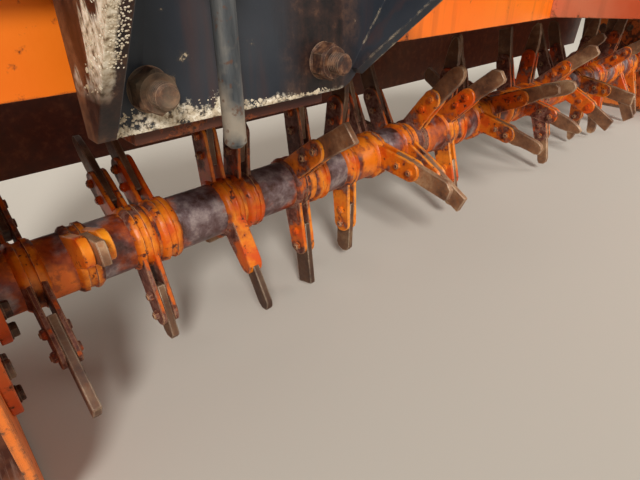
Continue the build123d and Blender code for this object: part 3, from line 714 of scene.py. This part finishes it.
def hex_solid(flats, start, end, chamfer=0.12):
    """A hexagon head or nut along X whose far corners are turned off."""
    corner = flats / math.sqrt(3)
    step = (end - start) * chamfer * 2
    line = [(start, corner), (end - step, corner), (end, flats * head_end_share)]
    return turned(line, head_sides, hexagon(flats))


def disc_solid(radius, start, end):
    """A plain disc, washer or bolt end along X."""
    return turned([(start, radius), (end, radius)], head_sides)


# Rusted fastener steel: brown rust in flakes over dull grey, with dry soil in the corners. The
# flakes are drawn 5 mm wide, coarser than they are, so that they show.
rusty_steel, tree, at, fine, broad = patterned("fastener_steel_rusted", (5, 8, 0.7), (25, 5, 0.5))
rust = add(tree, "ValToRGB", {0: fine}, ramp=((0.36, "#22140E"), (0.5, "#48291A"), (0.64, "#7C5438")))[0]
rust = laid_on(tree, rust, "#967E64", broad, 0.5, 0.66, 0.5)[0]
rust = laid_on(tree, rust, "#A68A6E", edge_share(tree, 1.5), 0.0, 1.0, 0.5)[0]
surface(tree, rust, 0.72, 0.15, fine, 0.4)

clamp_solids = []
for out in clamp_outs:
    face = holder_thick / 2
    seat = Vector((0, arm_offset, out))
    for solid in (
        hex_solid(clamp_flats, face - head_sunk, face + clamp_head, chamfer=0.3),
        hex_solid(clamp_flats, -face + head_sunk, -face - clamp_nut, chamfer=0.2),
        disc_solid(clamp_radius, -face, -face - clamp_nut - clamp_past_nut),
    ):
        clamp_solids.append(([corner + seat for corner in solid[0]], solid[1]))
# The bolts follow their arm's tone, so they carry its painted shade too.
clamp_rows = [(*row, 0, 0.35 + 0.6 * arm_wear_and_shade[n]) for n, row in enumerate(arm_rows) if n not in seen_plates]
repeated("clamp_bolts", [mesh_of("clamp_pair", clamp_solids, smooth_below=20)], clamp_rows, holder_enamel,
         "rotor", "rotor_paint", seed=17)

# Bolt heads that hold flanges, covers and shields stand on round washers of the same steel.
washer_share = 0.62
washer_top = 0.0025
head_foot = 0.002


def bolts(name, body, slot, places, flats, head, seed, washer=1.0):
    """Bolt heads on washers at (place, axis) rows, each turned as it happened to be tightened."""
    ring = disc_solid(flats * washer_share * washer, -head_sunk, washer_top)
    shape = mesh_of("bolt_head", [ring, hex_solid(flats, head_foot, head)], smooth_below=20)
    rows = [(place, axis, 0.0, 0, 0.0) for place, axis in places]
    repeated(name, [shape], rows, rusty_steel, body, slot, seed=seed, swing=math.pi)


def ring_places(x, y, z, radius, count, side, start=0.0):
    """Places on a circle in a plane across X, with axes along X to the given side."""
    angles = [start + math.tau * n / count for n in range(count)]
    return [((x, y + radius * math.cos(a), z + radius * math.sin(a)), (side, 0, 0)) for a in angles]


# Stub shafts: turned steel flanges bolted to the tube's ends, on shafts that run in the side
# gear case and the bearing housing. The flanges keep most of their orange.
body_of = {node: body for body, nodes in frame["record"]["behaviour"]["bodies"].items() for node in nodes}
slot_of = {row["node"]: row["material_slot"] for row in frame["record"]["subparts"]}
merged_within = 1e-5
flat_below = math.radians(0.5)
sharp_above = math.radians(22)


def edged(node, material, edge_mm=1.5, segments=2):
    """A copy of a CAD solid in its place, its triangles merged to whole faces and its edges rounded."""
    shape = bmesh.new()
    shape.from_mesh(frame["nodes"][node].data)
    bmesh.ops.remove_doubles(shape, verts=shape.verts, dist=merged_within)
    bmesh.ops.dissolve_limit(shape, angle_limit=flat_below, verts=shape.verts, edges=shape.edges)
    data = bpy.data.meshes.new(f"{node}_finished")
    shape.to_mesh(data)
    shape.free()
    piece = bpy.data.objects.new(data.name, data)
    scene.collection.objects.link(piece)
    round_edges(piece, edge_mm, segments)
    data = settled(piece)
    data.polygons.foreach_set("use_smooth", [True] * len(data.polygons))
    data.set_sharp_from_angle(angle=sharp_above)
    return fitted(data, material, body_of[node], slot_of[node], node)


# Sprayed enamel that soil rubs: large chips through to rust, and dull all over.
flange_enamel = enamel("enamel_soil_rubbed", "#C84A0C", "#E06A20", chips_at=0.68, dust=0.12, spot_mm=16)
stubs = edged("rotor_stubs", flange_enamel, 2.0)
# Shafts and bores are flat-sided here, so the shafts are made thinner to turn clear of the bores.
stub_radius = 0.030
stub_slack = 0.0006
shaft_within = stub_radius + 0.001
for corner in stubs.data.vertices:
    out = Vector((0, corner.co.y - axis_y, corner.co.z - axis_z))
    if out.length < shaft_within:
        corner.co -= out.normalized() * stub_slack
flange_bolt_ring = 0.073
flange_bolts = [place for side in (-1, 1)
                for place in ring_places(side * tube_end, axis_y, axis_z, flange_bolt_ring, 6, -side)]
bolts("flange_bolts", "rotor", "worn_steel", flange_bolts, flats=0.024, head=0.0125, seed=23)

# Hood: bent and welded 6 mm sheet, sprayed orange. Outside the sun has bleached it, its lip is
# chipped to cream and rust, and inside the soil has rubbed and stained it dark maroon, which is
# painted shade as well.
hood_enamel = enamel("enamel_sun_bleached", "#EC6200", "#FB7E06", chips_at=0.79, dust=0.06, spot_mm=14,
                     stained_and_shaded=True)
for node in ("hood_front_sheet", "hood_deck", "hood_rear_wall"):
    edged(node, hood_enamel, 1.2)

# Side plates and skids: 12 mm plates that close the rotor's tunnel, each welded to a sole bent
# up at its nose. The soles slide on the ground, so they are bare and brown with rust.
# Sprayed enamel, bleached, chipped wide along the plates' edges, with dust and an inside dark with stain and
# painted shade.
side_enamel = enamel("enamel_side_plates", "#DE5E08", "#EE7A18", chips_at=0.735, dust=0.2, spot_mm=16,
                     edge_mm=8, stained_and_shaded=True)
# Rolled steel scoured by the ground: brown rust drawn out in long paler scratches, which are 4 mm
# wide here, coarser than they are, so that they show.
sole_steel, tree, at, scratches, broad = patterned(
    "sole_steel_rusted", (4, 6, 0.7, (1.0, 0.1, 1.0)), (40, 6, 0.5))
rust = add(tree, "ValToRGB", {0: broad}, ramp=((0.36, "#4A2A1C"), (0.52, "#7A5238"), (0.66, "#A58468")))[0]
rust = laid_on(tree, rust, "#8F7C6C", scratches, 0.5, 0.66, 0.7)[0]
surface(tree, rust, 0.6, 0.3, scratches, 0.4)
for word in ("left", "right"):
    edged(f"side_plate_{word}", side_enamel, 1.5)
    edged(f"skid_{word}", sole_steel, 1.5)

# End shields: discs bolted inside the side plates round the shaft, which keep stones off its
# bearings. Eight bolts hold each.
shield_bolt_ring = 0.168
shield_bolts = []
for side, word in ((-1, "left"), (1, "right")):
    edged(f"end_shield_{word}", flange_enamel, 2.0)
    low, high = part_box(f"end_shield_{word}")
    inner_face = high.x if side < 0 else low.x
    shield_bolts += ring_places(inner_face, axis_y, axis_z, shield_bolt_ring, 8, -side, 0.2)
bolts("shield_bolts", "frame", "rusty_fastener", shield_bolts, flats=0.024, head=0.0095, seed=29)

# Beams: square tubes of 120 and 80 mm welded along the hood's deck, closed by end plates.
# Their rolled corners are round, and dry soil lies on top of them.
beam_enamel = enamel("enamel_beams", "#E65A08", "#F57C1C", chips_at=0.79, dust=0.22, spot_mm=16)
for node in ("front_beam", "rear_beam"):
    edged(node, beam_enamel, 1.0)

# Front brackets: blue-black plates of 12 mm with a thick wedge-shaped cheek outside, a flanged
# inner edge and a guide tube for the stand leg. Dark pads space them off the hood's front.
bracket_low_edge = 0.575
bracket_inner = 1.075
bracket_outer = 1.372
bracket_front = axis_y - 0.366
cheek_outer = bracket_outer + 0.018
cheek_foot = (axis_y - 0.375, 0.577)
cheek_head = (axis_y - 0.473, 0.700)
cheek_slope = (cheek_foot[0] - cheek_head[0]) / (cheek_head[1] - cheek_foot[1])
nut_half = 0.021
inner_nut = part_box("bracket_studs_right")[0].x + nut_half
thin_clay = 1.16
thick_clay = 1.27


def bracket_mud(tree, place, spots, runs):
    """Two masks: rust and oil over the cheek, where painted shade darkens it too, and down past the
    inner nut, and clay, which lies on the plate along its lower edge and in a ragged band behind the
    cheek's front edge."""
    at = add(tree, "SeparateXYZ", {0: place})
    outwards = add(tree, "Math", {0: at["X"]}, operation="ABSOLUTE")[0]
    beyond = add(tree, "MapRange", {0: outwards, 1: bracket_outer + 0.0005, 2: bracket_outer + 0.0015})[0]
    from_nut = add(tree, "Math", {0: outwards, 1: inner_nut}, operation="SUBTRACT")[0]
    from_nut = add(tree, "Math", {0: from_nut}, operation="ABSOLUTE")[0]
    frayed = add(tree, "Math", {0: runs, 1: 0.10, 2: from_nut}, operation="MULTIPLY_ADD")[0]
    streak = add(tree, "MapRange", {0: frayed, 1: 0.120, 2: 0.075, 4: 0.92})[0]
    # The cheek goes dark whole, rust with painted shade, and a streak of rust and oil runs past the inner
    # nut.
    stained_and_shaded = add(tree, "Math", {0: beyond, 1: streak}, operation="MAXIMUM")[0]
    clay_reach = add(tree, "MapRange", {0: outwards, 1: thin_clay, 2: thick_clay, 3: 0.2, 4: 1.0})[0]
    over_edge = add(tree, "Math", {0: at["Z"], 1: bracket_low_edge}, operation="SUBTRACT")[0]
    reach = add(tree, "Math", {0: spots, 1: 0.15, 2: -0.060}, operation="MULTIPLY_ADD")[0]
    reach = add(tree, "Math", {0: reach, 1: clay_reach}, operation="MULTIPLY")[0]
    inside = add(tree, "Math", {0: reach, 1: over_edge}, operation="SUBTRACT")[0]
    low = add(tree, "MapRange", {0: inside, 1: 0.0, 2: 0.008})[0]
    low = add(tree, "Math", {0: low, 1: beyond}, operation="SUBTRACT")[0]
    foot = -cheek_slope * cheek_foot[1] - cheek_foot[0]
    risen = add(tree, "Math", {0: at["Z"], 1: cheek_slope, 2: foot}, operation="MULTIPLY_ADD")[0]
    from_slope = add(tree, "Math", {0: at["Y"], 1: risen})[0]
    from_front = add(tree, "Math", {0: at["Y"], 1: cheek_head[0]}, operation="SUBTRACT")[0]
    behind = add(tree, "Math", {0: from_slope, 1: from_front}, operation="MINIMUM")[0]
    width = add(tree, "Math", {0: runs, 1: 0.16, 2: -0.040}, operation="MULTIPLY_ADD")[0]
    within = add(tree, "Math", {0: width, 1: behind}, operation="SUBTRACT")[0]
    band = add(tree, "MapRange", {0: within, 1: 0.0, 2: 0.006})[0]
    across = add(tree, "MapRange", {0: outwards, 1: bracket_outer + 0.002, 2: cheek_outer - 0.001})[0]
    speckled = add(tree, "Math", {0: across, 1: spots})[0]
    on_cheek = add(tree, "MapRange", {0: speckled, 1: 0.92, 2: 1.12})[0]
    high = add(tree, "MapRange", {0: at["Z"], 1: 0.615, 2: 0.650})[0]
    cheek = add(tree, "Math", {0: band, 1: on_cheek}, operation="MULTIPLY")[0]
    cheek = add(tree, "Math", {0: cheek, 1: high}, operation="MULTIPLY")[0]
    return stained_and_shaded, add(tree, "Math", {0: low, 1: cheek}, operation="MAXIMUM")[0]


# Blue-black enamel: near black with a dull sheen, chipped in grey, under pale clay and rust, its cheek dark
# with rust and painted shade.
bracket_enamel = enamel("enamel_blue_black", "#10151E", "#222C38", chips_at=0.82, dust=0.06, spot_mm=12,
                        edge_mm=5, chip_colours=("#4A443E", "#6E5F4E", "#B9A589"), mud=bracket_mud)
# Old enamel soaked with oil: a dark red-brown with hardly any dust.
pad_enamel = enamel("enamel_pads", "#32120C", "#4C1E12", chips_at=0.72, dust=0.06)
for word in ("left", "right"):
    edged(f"stand_bracket_{word}", bracket_enamel, 2.0)
    edged(f"bracket_pad_{word}", pad_enamel, 1.5)

# Dried mud: clods of pale clay that stick along the brackets' lower edges and on the cheeks,
# cracked and matt. They are small lumps of every size, and the clay's grain is drawn 3 mm wide,
# coarser than it is, so that it shows.
dried_mud, tree, at, broad, fine = patterned("dried_clay", (20, 6, 0.5), (3, 8, 0.7))
clay = add(tree, "ValToRGB", {0: broad}, ramp=((0.36, "#A68E6E"), (0.5, "#D0BEA2"), (0.64, "#E8DAC2")))[0]
clay = laid_on(tree, clay, "#6E573E", fine, 0.52, 0.66, 0.6)[0]
surface(tree, clay, 0.95, 0.0, fine, 0.9)
clod_sizes = (0.0008, 0.0012, 0.0017, 0.0025)
clods_each_side = 800
clod_waves = 0.9
clod_lumpy = 0.5
clod_flat = 0.5
clod_inset = 0.002
clod_thinning = 1.6
flange_clear = 0.032
slope_band = 0.035
least_clay = 0.010
more_clay = 0.016
clay_waves = 25
side_heights = (0.62, 0.83)
front_low = 0.645


def clod(radius, seed):
    """A lump of mud, flat on its face, which it is sunk into."""
    shape = bmesh.new()
    bmesh.ops.create_icosphere(shape, subdivisions=1, radius=radius)
    for corner in shape.verts:
        spot = corner.co / radius * clod_waves + Vector((seed, 0, 0))
        corner.co *= 1 + clod_lumpy * noise.noise(spot)
        corner.co.x *= clod_flat
    data = bpy.data.meshes.new(f"clod_{seed:02d}")
    shape.to_mesh(data)
    shape.free()
    return data


# Of every five clods, three lie along the plate's lower edge, one on the cheek's side and one on
# its sloping front.
clod_meshes = [clod(size, n) for n, size in enumerate(clod_sizes)]
for side, word in ((-1, "left"), (1, "right")):
    rows = []
    for n in range(clods_each_side):
        spin = chance.uniform(0, math.tau)
        size = min(3, int(chance.expovariate(0.9)))
        if n % 5 < 3:
            span = bracket_outer - bracket_inner - flange_clear
            x = bracket_outer - clod_inset - span * chance.random() ** clod_thinning
            thickness = least_clay + more_clay * (0.5 + noise.noise(Vector((x * clay_waves, side, 0))))
            thickness *= min(1.0, max(0.2, (x - thin_clay) / (thick_clay - thin_clay)))
            z = bracket_low_edge + clod_inset + chance.random() ** 2 * thickness
            place, axis = (side * x, bracket_front, z), (0, -1, 0)
        elif n % 5 == 3:
            z = chance.uniform(*side_heights)
            front = max(cheek_head[0], cheek_foot[0] - cheek_slope * (z - cheek_foot[1]))
            y = front + clod_inset + slope_band * chance.random() ** clod_thinning
            place, axis = (side * cheek_outer, y, z), (side, 0, 0)
        else:
            z = chance.uniform(front_low, cheek_head[1])
            share = (z - cheek_foot[1]) / (cheek_head[1] - cheek_foot[1])
            y = cheek_foot[0] + (cheek_head[0] - cheek_foot[0]) * share
            x = side * chance.uniform(bracket_outer + clod_inset, cheek_outer - clod_inset)
            place, axis = (x, y, z), (0, -1, -cheek_slope)
            size = min(size, 1)
        rows.append((place, axis, spin, size, 0.0))
    repeated(f"mud_clods_{word}", clod_meshes, rows, dried_mud, "frame", "bracket_paint", seed=53)

# Studs: four 24 mm studs hold each pair of brackets, with 36 mm hexagon nuts and washers, all
# rusted, and the thread ends stand out past the nuts.
thread_pitch = 0.003
thread_depth = 0.0016
thread_steps = 5
thread_start = 0.0015
thread_taper = 0.002
stud_radius = 0.012
stud_sides = 24
nut_flats = 0.036
nut_height = 0.020
nut_sides = 36
nut_chamfer = 0.003
nut_end_share = 0.48
washer_thick = 0.002
washer_out = nut_flats * 0.58


def threaded(along, angle, radius):
    """A thread's ridge, which winds round the stud once for each pitch."""
    turn = (along / thread_pitch + angle / math.tau) % 1.0
    return radius - thread_depth * abs(2 * turn - 1)


def on_washer(along, angle, radius):
    """A hexagon that stands on a round washer's lower face."""
    return hexagon(nut_flats)(along, angle, radius) if along > washer_thick / 2 else radius


for word in ("left", "right"):
    low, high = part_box(f"bracket_studs_{word}")
    stud_z = (low.z + high.z) / 2
    half = nut_flats / math.sqrt(3)
    steps = int((high.y - low.y - 2 * thread_taper) / thread_pitch * thread_steps)
    thread = [(0.0, stud_radius - thread_taper), (thread_start, stud_radius)]
    thread += [(thread_start + n * thread_pitch / thread_steps, stud_radius) for n in range(1, steps)]
    solids = []
    for x in (low.x + half, high.x - half):
        solids.append(placed(turned(thread, stud_sides, threaded), (x, low.y, stud_z), (0, 1, 0)))
        nut_line = [(0.0, washer_out), (washer_thick, washer_out), (washer_thick, half),
                    (nut_height - nut_chamfer, half), (nut_height, nut_flats * nut_end_share)]
        nut = turned(nut_line, nut_sides, on_washer)
        solids.append(placed(nut, (x, bracket_front, stud_z), (0, -1, 0)))
    studs = mesh_of(f"studs_{word}", solids, smooth_below=25)
    fitted(studs, rusty_steel, "frame", "rusty_fastener", f"bracket_studs_{word}")

# Stand legs: round bars of 25 mm that drop through the brackets' guides to park the machine,
# grey with a film of mud, their lower ends turned to a chamfer.
leg_rings = 120
leg_sides = 32
leg_chamfer = 0.004
leg_dents = uneven(height=-0.0003, base=1, along_scale=30, round_scale=1)
# Bar steel: grey and dull, in thin runs of mud with specks of rust. The specks are drawn 4 mm
# wide, coarser than they are, so that they show.
bar_steel, tree, at, runs, fine, broad = patterned(
    "grey_bar_mud_filmed", (10, 7, 0.65, (1.0, 1.0, 0.15)), (4, 6, 0.5), (30, 5, 0.5))
grey = add(tree, "ValToRGB", {0: runs}, ramp=((0.36, "#2C2F32"), (0.5, "#484A4B"), (0.66, "#6E6B66")))[0]
grey = laid_on(tree, grey, "#A99A86", broad, 0.5, 0.66, 0.7)[0]
grey = laid_on(tree, grey, "#5C3A26", fine, 0.6, 0.68, 0.8)[0]
surface(tree, grey, 0.6, 0.2, fine, 0.3)
for word in ("left", "right"):
    low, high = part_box(f"stand_leg_{word}")
    radius = (high.x - low.x) / 2
    length = high.z - low.z
    step = (length - 2 * leg_chamfer) / leg_rings
    line = [(leg_chamfer + step * n, radius) for n in range(leg_rings + 1)]
    line = [(0.0, radius - leg_chamfer), *line, (length, radius - leg_chamfer)]
    middle = ((low.x + high.x) / 2, (low.y + high.y) / 2, low.z)
    leg = mesh_of(f"leg_bar_{word}", [placed(turned(line, leg_sides, leg_dents), middle, (0, 0, 1))])
    fitted(leg, bar_steel, f"stand_leg_{word}", "grey_bar", f"stand_leg_{word}")

# Lower-link brackets: pairs of thick plates welded under the front beam, bored for pins of
# 28 mm with a collar. The pins are turned steel, bright where the links rub them.
# Enamel faded by sun and grease to a pale red, under a film of dust.
link_enamel = enamel("enamel_link_plates", "#C2522C", "#DC7A54", chips_at=0.76, dust=0.35, spot_mm=14)
# Turned steel with grease: bright and grey where it is rubbed, dull and brown where it rusts. Its
# grain is drawn 5 mm wide, coarser than it is, so that it shows.
pin_steel, tree, at, fine, broad = patterned("turned_steel_greased", (5, 7, 0.65), (22, 5, 0.5))
bright = add(tree, "ValToRGB", {0: fine}, ramp=((0.36, "#5C5650"), (0.52, "#8C8780"), (0.66, "#B5B0A8")))[0]
bright, rusting = laid_on(tree, bright, "#6A4428", broad, 0.5, 0.62, 0.75)
shine = add(tree, "MapRange", {0: rusting, 3: 0.85, 4: 0.2})[0]
sheen = add(tree, "MapRange", {0: rusting, 3: 0.32, 4: 0.75})[0]
surface(tree, bright, sheen, shine, fine, 0.15)
for word in ("left", "right"):
    edged(f"link_bracket_{word}", link_enamel, 1.5)
    edged(f"link_pin_{word}", pin_steel, 0.8, 1)

# Mast: two legs leaning in from the beam to a head plate with ears for the top link, and two
# cranked braces back over the drive to the rear beam, all flame-cut and welded.
# Sprayed enamel that seldom meets a stone: clean and orange, with dust on what looks up.
mast_enamel = enamel("enamel_mast", "#EA660F", "#F78C28", chips_at=0.80, dust=0.3, spot_mm=14)
for node in ("mast_leg_left", "mast_leg_right", "mast_brace_left", "mast_brace_right", "mast_head"):
    edged(node, mast_enamel, 1.5)

# Gearbox and side gear case: iron castings sprayed orange over a sandy skin, with bolted
# covers and an oil filler.
# Enamel on a sand casting: small chips close together, which give it a grainy skin.
casting_enamel = enamel("enamel_on_sand_casting", "#E8620F", "#F48628", chips_at=0.80, dust=0.35, spot_mm=5)
for node in ("gearbox", "gear_case", "gear_case_cover", "bearing_housing", "cross_tube"):
    edged(node, casting_enamel, 2.0)
box_lo, box_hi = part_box("gearbox")
case_lo, case_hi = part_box("gear_case")
tube_lo, tube_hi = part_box("cross_tube")
drive_y = (tube_lo.y + tube_hi.y) / 2
drive_z = (tube_lo.z + tube_hi.z) / 2
boss_depth = 0.040
box_front = box_lo.y + boss_depth
box_middle = (box_front + box_hi.y) / 2
cover_bolt_x = 0.095
cover_inset = 0.03
top_places = [((x, y, box_hi.z), (0, 0, 1)) for x in (-cover_bolt_x, 0, cover_bolt_x)
              for y in (box_front + cover_inset, box_hi.y - cover_inset)]
top_places += [((x, box_middle, box_hi.z), (0, 0, 1)) for x in (-cover_bolt_x, cover_bolt_x)]
bolts("gearbox_cover_bolts", "frame", "gearbox_iron", top_places, flats=0.017, head=0.0095, seed=31)
boss_ring = 0.056
boss_places = [((boss_ring * math.cos(a), box_lo.y, drive_z + boss_ring * math.sin(a)), (0, -1, 0))
               for a in (0.5, 1.57, 2.64, 3.64, 4.71, 5.78)]
bolts("input_boss_bolts", "frame", "gearbox_iron", boss_places, flats=0.013, head=0.0075, seed=37)
box_side = -0.125
tube_flange = 0.014
tube_bolt_ring = 0.083
flange_places = ring_places(box_side - tube_flange, drive_y, drive_z, tube_bolt_ring, 8, -1, 0.3)
flange_places += ring_places(tube_lo.x + tube_flange, drive_y, drive_z, tube_bolt_ring, 8, 1, 0.3)
bolts("cross_tube_bolts", "frame", "gearbox_iron", flange_places, flats=0.017, head=0.0095, seed=41)

rim_inset = 0.007
rim_steps = 6
low_radius = (case_hi.y - case_lo.y) / 2
high_radius = case_hi.z - drive_z
rim_places = []
for middle_y, middle_z, radius, first, last in (
    (axis_y, axis_z, low_radius - rim_inset, math.pi + 0.05, math.tau),
    (drive_y, drive_z, high_radius - rim_inset, 0.1, math.pi),
):
    for n in range(rim_steps + 1):
        a = first + (last - first) * n / rim_steps
        place = (case_lo.x, middle_y + radius * math.cos(a), middle_z + radius * math.sin(a))
        rim_places.append((place, (-1, 0, 0)))
for share in (0.25, 0.5, 0.75):
    middle_y = axis_y + (drive_y - axis_y) * share
    middle_z = axis_z + (drive_z - axis_z) * share
    radius = low_radius + (high_radius - low_radius) * share - rim_inset
    rim_places += [((case_lo.x, middle_y + side * radius, middle_z), (-1, 0, 0)) for side in (-1, 1)]
bolts("case_cover_bolts", "frame", "gearbox_iron", rim_places, flats=0.010, head=0.0068, seed=43, washer=0.95)

plug_x = 0.06
plug = [placed(solid, (plug_x, box_middle, box_hi.z), (0, 0, 1)) for solid in (
    hex_solid(flats=0.027, start=0.0, end=0.014), disc_solid(radius=0.018, start=-head_sunk, end=0.004))]
fitted(mesh_of("oil_filler_plug", plug, smooth_below=20), rusty_steel, "frame", "gearbox_iron")

house_flange = 0.018
house_bolts = 0.079
house_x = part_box("bearing_housing")[0].x + house_flange
house_places = [((house_x, axis_y + y, axis_z + z), (1, 0, 0))
                for y in (-house_bolts, house_bolts) for z in (-house_bolts, house_bolts)]
bolts("bearing_bolts", "frame", "gearbox_iron", house_places, flats=0.024, head=0.0125, seed=47)

# Input shaft: a 35 mm shaft with six splines and a locking groove, turned and milled from
# steel, polished by the drive shaft's yoke and greased.
shaft_lo, shaft_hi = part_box("input_shaft")
shaft_length = shaft_hi.y - shaft_lo.y
shaft_sides = 144
journal_length = 0.058
journal_radius = 0.022
spline_outer = 0.0174
spline_root = 0.0149
spline_half = math.radians(15)
spline_runout = 0.012
neck_radius = 0.0172
neck_length = 0.006
groove_start = 0.022
groove_end = 0.030
groove_slope = 0.001
groove_radius = 0.0142
end_radius = 0.0140
end_chamfer = 0.002


def splined(along, angle, radius):
    """Six splines where the radius asks for the full size, and plain elsewhere."""
    if radius != spline_outer:
        return radius
    from_middle = abs((angle + math.pi / 6) % (math.pi / 3) - math.pi / 6)
    return radius if from_middle < spline_half else spline_root


free_length = shaft_length - journal_length
shaft_line = [
    (0.0, end_radius),
    (end_chamfer, spline_root),
    (end_chamfer + 0.0001, spline_outer),
    (groove_start, spline_outer),
    (groove_start + groove_slope, groove_radius),
    (groove_end - groove_slope, groove_radius),
    (groove_end, spline_outer),
    (free_length - spline_runout, spline_outer),
    (free_length - neck_length, neck_radius),
    (free_length, neck_radius),
    (free_length, journal_radius),
    (shaft_length, journal_radius),
]
shaft = placed(turned(shaft_line, shaft_sides, splined), (0, shaft_lo.y, drive_z), (0, 1, 0))
splined_shaft = mesh_of("splined_input_shaft", [shaft], smooth_below=30)
fitted(splined_shaft, pin_steel, "input", "pin_steel", "input_shaft")

# Input shield: a bent sheet of steel over the shaft, screwed to the gearbox and sprayed black.
# Its enamel is dull, with small chips and a coat of dust that greys it.
shield_enamel = enamel("enamel_black_shield", "#17181A", "#2B2C2E", chips_at=0.84, dust=0.4, spot_mm=8)
edged("input_shield", shield_enamel, 1.0)

# Rear board: a 6 mm sheet hung behind the rotor on four hinges, with a folded foot. Its edges
# are chipped to a pale line, and its inside is as dark as the hood's, stain with painted shade.
for node in ("rear_board", "board_knuckles", "hinge_lugs"):
    edged(node, hood_enamel, 1.0 if node == "rear_board" else 0.8)
edged("hinge_pins", pin_steel, 0.8, 1)

size = {"cad": [list(v) for v in cad_box], "visual": [list(v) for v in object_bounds()]}
